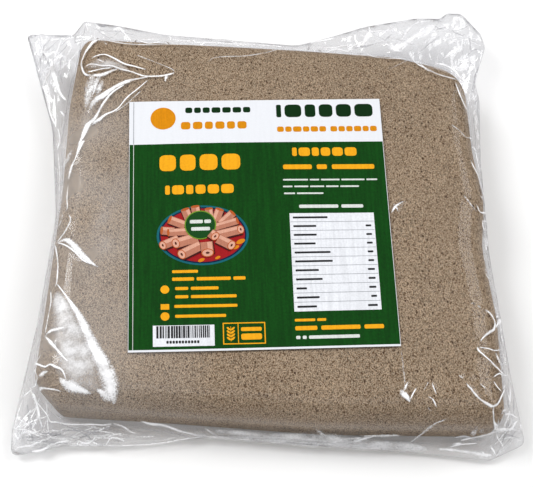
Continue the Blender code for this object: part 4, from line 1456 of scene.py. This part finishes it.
small_facets = arithmetic(tree, "MULTIPLY", along_sides(170, 0.25, -16), 0.16)
crumple = arithmetic(tree, "ADD", along_sides(52, 0.36, 14), small_facets)
bump = node(tree, "ShaderNodeBump")
bump.inputs["Distance"].default_value = 0.0042
tree.links.new(arithmetic(tree, "MULTIPLY", slack, 0.75), bump.inputs["Strength"])
tree.links.new(crumple, bump.inputs["Height"])
glance = node(tree, "ShaderNodeLayerWeight")
glance.inputs["Blend"].default_value = 0.5
tree.links.new(bump.outputs["Normal"], glance.inputs["Normal"])
clear_tone = node(tree, "ShaderNodeMix", data_type="RGBA")
# painted light: the film is made clearer where it lies low at the front and the sides, lifting the margins
# where the pack's shade falls on the floor
thin_tone = node(tree, "ShaderNodeMix", data_type="RGBA")
thin_tone.inputs["A"].default_value = (0.905, 0.905, 0.915, 1)
thin_tone.inputs["B"].default_value = (0.995, 0.995, 0.998, 1)
tree.links.new(bunched_and_lightened, thin_tone.inputs["Factor"])
tree.links.new(thin_tone.outputs["Result"], clear_tone.inputs["A"])
clear_tone.inputs["B"].default_value = (0.76, 0.76, 0.785, 1)
tree.links.new(curve_of(tree, glance.outputs["Facing"], 0.35, 0.9, 0, 1), clear_tone.inputs["Factor"])
taut_tone = node(tree, "ShaderNodeMix", data_type="RGBA")
taut_tone.inputs["A"].default_value = (0.97, 0.97, 0.975, 1)
tree.links.new(slack, taut_tone.inputs["Factor"])
tree.links.new(clear_tone.outputs["Result"], taut_tone.inputs["B"])
clear = node(tree, "ShaderNodeBsdfTransparent")
tree.links.new(taut_tone.outputs["Result"], clear.inputs["Color"])
gloss = node(tree, "ShaderNodeBsdfGlossy")
gloss.inputs["Color"].default_value = (1, 1, 1, 1)
tree.links.new(curve_of(tree, twist.outputs["Fac"], 0.3, 0.7, 0.07, 0.16), gloss.inputs["Roughness"])
tree.links.new(bump.outputs["Normal"], gloss.inputs["Normal"])
steep_share = arithmetic(tree, "ADD", 0.2, arithmetic(tree, "MULTIPLY", slack, 0.5))
steep = arithmetic(tree, "MULTIPLY", arithmetic(tree, "POWER", glance.outputs["Facing"], 4.0), steep_share)
level_share = arithmetic(tree, "ADD", 0.016, arithmetic(tree, "MULTIPLY", slack, 0.045))
mirror = arithmetic(tree, "ADD", steep, level_share)
back_haze = node(tree, "ShaderNodeBsdfDiffuse")
back_haze.inputs["Color"].default_value = (0.95, 0.95, 0.96, 1)
through_haze = node(tree, "ShaderNodeBsdfTranslucent")
through_haze.inputs["Color"].default_value = (0.95, 0.95, 0.96, 1)
haze = blended(tree, 0.4, back_haze, through_haze)
# more haze where the film lies low at the front and the sides: partly the heaped layers, partly painted
# light on the shaded margins
haze_share = arithmetic(tree, "ADD", 0.06, arithmetic(tree, "MULTIPLY", bunched_and_lightened, 0.20))
# the veil down the left half, added to the haze, is a painted reflection
haze_amount = arithmetic(tree, "ADD", arithmetic(tree, "MULTIPLY", slack, haze_share), painted_veil)
hazy = blended(tree, haze_amount, clear, haze)
tree.links.new(blended(tree, mirror, hazy, gloss).outputs[0], output.inputs["Surface"])
film.data.materials.append(film_finish)
print("film nodes:", len(tree.nodes))

# %% [markdown]
# ### Painted highlights and veils on the fold lines
# The ribbons are painted light: white is a painted highlight where light gathers on a
# fold, pale and soft a painted veil of reflection, and grey is painted shade in a steep
# fold, partly film lying double.
# Their opacity is the cover on their points, broken up by a fine noise, so that a strong
# line stays solid while a faint one turns into specks, as on the sponge under the film.

# %% Painted fold light
fold_finish, tree, output = new_finish("painted_fold_light")
where = node(tree, "ShaderNodeTexCoord").outputs["Object"]
cover = node(tree, "ShaderNodeAttribute", attribute_name="cover").outputs["Fac"]
tone = node(tree, "ShaderNodeAttribute", attribute_name="tone").outputs["Fac"]
breaks = noise_of(tree, where, 1100, detail=2, roughness=0.6)
drifts = noise_of(tree, where, 90, detail=3)
speckle = curve_of(tree, breaks.outputs["Fac"], 0.3, 0.7, -0.9, 0.9)
drift = curve_of(tree, drifts.outputs["Fac"], 0.3, 0.7, 0.6, 1.3)
solid = arithmetic(tree, "MULTIPLY", cover, drift)
thin = arithmetic(tree, "MULTIPLY", cover, arithmetic(tree, "SUBTRACT", 1.0, cover))
thin = arithmetic(tree, "MULTIPLY", thin, curve_of(tree, tone, VEIL_TONE, 1.0, 0.3, 1.0))
opacity = arithmetic(tree, "ADD", solid, arithmetic(tree, "MULTIPLY", thin, speckle))
opacity = curve_of(tree, opacity, 0.02, 0.98, 0.0, 0.97)
# painted light: a low tone gives grey, painted shade, and a high tone white, a painted highlight
painted_fold_tone = node(tree, "ShaderNodeMix", data_type="RGBA")
painted_fold_tone.inputs["A"].default_value = linear(112, 112, 118)
painted_fold_tone.inputs["B"].default_value = linear(250, 250, 252)
tree.links.new(tone, painted_fold_tone.inputs["Factor"])
shader = node(tree, "ShaderNodeBsdfPrincipled")
shader.inputs["Specular IOR Level"].default_value = 0.4
shader.inputs["Roughness"].default_value = 0.25
tree.links.new(painted_fold_tone.outputs["Result"], shader.inputs["Base Color"])
tree.links.new(opacity, shader.inputs["Alpha"])
tree.links.new(shader.outputs[0], output.inputs["Surface"])
painted_fold_lines.data.materials.append(fold_finish)
print("fold nodes:", len(tree.nodes))

# %% [markdown]
# ### Paper and inks
# Coated paper has a soft sheen, and ink on it is never quite even: a large green field
# shows faint streaks along the way it was printed. Every ink gets those streaks.

# %% Paper and inks
def ink_finish(name, colour, streak=0.06, roughness=0.55):
    finish, tree, output = new_finish(name)
    where = node(tree, "ShaderNodeTexCoord").outputs["Object"]
    stretch = node(tree, "ShaderNodeMapping")
    stretch.inputs["Scale"].default_value = (1.0, 0.06, 1.0)
    tree.links.new(where, stretch.inputs["Vector"])
    streaks = noise_of(tree, stretch.outputs[0], 600, detail=2)
    specks = noise_of(tree, where, 900)
    ends = (0.3, 0.7, 1 - streak, 1 + streak)
    uneven = [curve_of(tree, one.outputs["Fac"], *ends) for one in (streaks, specks)]
    change = arithmetic(tree, "MULTIPLY", *uneven)
    tint = node(tree, "ShaderNodeMix", data_type="RGBA", blend_type="MULTIPLY")
    tint.inputs["Factor"].default_value = 1.0
    tint.inputs["A"].default_value = colour
    tree.links.new(change, tint.inputs["B"])
    bump = node(tree, "ShaderNodeBump")
    bump.inputs["Strength"].default_value = 0.15
    bump.inputs["Distance"].default_value = 0.0001
    tree.links.new(specks.outputs["Fac"], bump.inputs["Height"])
    shader = node(tree, "ShaderNodeBsdfPrincipled")
    shader.inputs["Specular IOR Level"].default_value = 0.08
    tree.links.new(tint.outputs["Result"], shader.inputs["Base Color"])
    sheen = curve_of(tree, specks.outputs["Fac"], 0.3, 0.7, roughness, roughness + 0.1)
    tree.links.new(sheen, shader.inputs["Roughness"])
    tree.links.new(bump.outputs["Normal"], shader.inputs["Normal"])
    tree.links.new(shader.outputs[0], output.inputs["Surface"])
    return finish


paper.data.materials.append(ink_finish("label_white", linear(221, 223, 228), streak=0.01))
INK_COLOURS = {
    "green": (10, 62, 13),
    "yellow": (230, 160, 24),
    "orange": (204, 130, 8),
    "dark_green": (7, 42, 13),
    "white": (208, 212, 208),
    "panel": (221, 223, 228),
    "grey": (150, 152, 158),
    "black": (40, 40, 42),
    "rim": (20, 92, 104),
    "rim_line": (16, 28, 58),
    "tray": (150, 24, 28),
    "spice": (204, 124, 20),
    "roll_shade": (62, 22, 20),
    "roll": (176, 116, 94),
    "roll_light": (208, 156, 134),
    "roll_end": (172, 84, 38),
    "roll_core": (84, 44, 32),
    "sign_rim": (104, 138, 40),
    "sign_face": (20, 66, 24),
    "sign_words": (204, 208, 204),
}
for name, piece in print_pieces.items():
    streak = 0.16 if name == "green" else 0.05
    piece.data.materials.append(ink_finish("ink_" + name, linear(*INK_COLOURS[name]), streak=streak))
print("inks:", len(INK_COLOURS))

# %% [markdown]
# ## Floor, light and camera
# The pack lies on a white sweep. A softbox behind it at the left lights the creases that
# the camera sees, a larger and dimmer one at the right gives the soft sheen on that rim,
# and a faint one in front and a pale sky fill the shadows. A long lens looks down from
# the front, slightly turned.

# %% Floor
floor_shape = bmesh.new()
bmesh.ops.create_grid(floor_shape, x_segments=1, y_segments=1, size=4)
floor_mesh = bpy.data.meshes.new("floor")
floor_shape.to_mesh(floor_mesh)
floor_shape.free()
floor = bpy.data.objects.new("floor", floor_mesh)
bpy.context.scene.collection.objects.link(floor)
floor_finish, tree, output = new_finish("white_sweep")
shader = node(tree, "ShaderNodeBsdfDiffuse")
speckle = noise_of(tree, node(tree, "ShaderNodeTexCoord").outputs["Object"], 3)
tone = node(tree, "ShaderNodeMix", data_type="RGBA")
tone.inputs["A"].default_value = (0.90, 0.90, 0.90, 1)
tone.inputs["B"].default_value = (0.92, 0.92, 0.92, 1)
tree.links.new(speckle.outputs["Fac"], tone.inputs["Factor"])
tree.links.new(tone.outputs["Result"], shader.inputs["Color"])
tree.links.new(shader.outputs[0], output.inputs["Surface"])
floor.data.materials.append(floor_finish)

# %% Lights and sky
def softbox(name, place, width, height, power):
    """A glowing rectangle that faces the middle of the pack."""
    lamp = bpy.data.lights.new(name, "AREA")
    lamp.shape = "RECTANGLE"
    lamp.size = width
    lamp.size_y = height
    lamp.energy = power
    holder = bpy.data.objects.new(name, lamp)
    holder.location = place
    holder.rotation_euler = (-Vector(place)).to_track_quat("-Z", "Y").to_euler()
    bpy.context.scene.collection.objects.link(holder)
    print(name, "radiance:", round(power / (math.pi * width * height), 1))


softbox("left_box", (-1.00, 0.42, 1.42), 0.70, 0.70, 17)
softbox("right_box", (1.60, 0.55, 1.90), 1.50, 1.50, 28)
softbox("front_box", (0.0, -1.00, 1.30), 1.40, 0.70, 3)

sky = bpy.data.worlds.new("studio")
sky.use_nodes = True
sky_glow = sky.node_tree.nodes["Background"]
sky_glow.inputs["Color"].default_value = (1, 1, 1, 1)
sky_glow.inputs["Strength"].default_value = 0.45
bpy.context.scene.world = sky
bpy.context.scene.view_settings.view_transform = "Standard"

# %% Camera
ELEVATION = math.radians(66)
AZIMUTH = math.radians(-7.87)
ROLL = math.radians(6.14)
CAMERA_PLACE = Vector((-0.0450, -0.3420, 0.7569))
LENS_MM = 83.35
level = math.cos(ELEVATION)
back = Vector((math.sin(AZIMUTH) * level, -math.cos(AZIMUTH) * level, math.sin(ELEVATION)))
right = (-back).cross(Vector((0, 0, 1))).normalized()
up = right.cross(-back)
rolled_right = right * math.cos(ROLL) + up * math.sin(ROLL)
rolled_up = -right * math.sin(ROLL) + up * math.cos(ROLL)
lens = bpy.data.cameras.new("camera")
lens.lens = LENS_MM
lens.sensor_width = 36
lens.clip_start = 0.01
camera = bpy.data.objects.new("camera", lens)
turn = Matrix((rolled_right, rolled_up, back)).transposed().to_4x4()
camera.matrix_world = Matrix.Translation(CAMERA_PLACE) @ turn
bpy.context.scene.collection.objects.link(camera)
bpy.context.scene.camera = camera
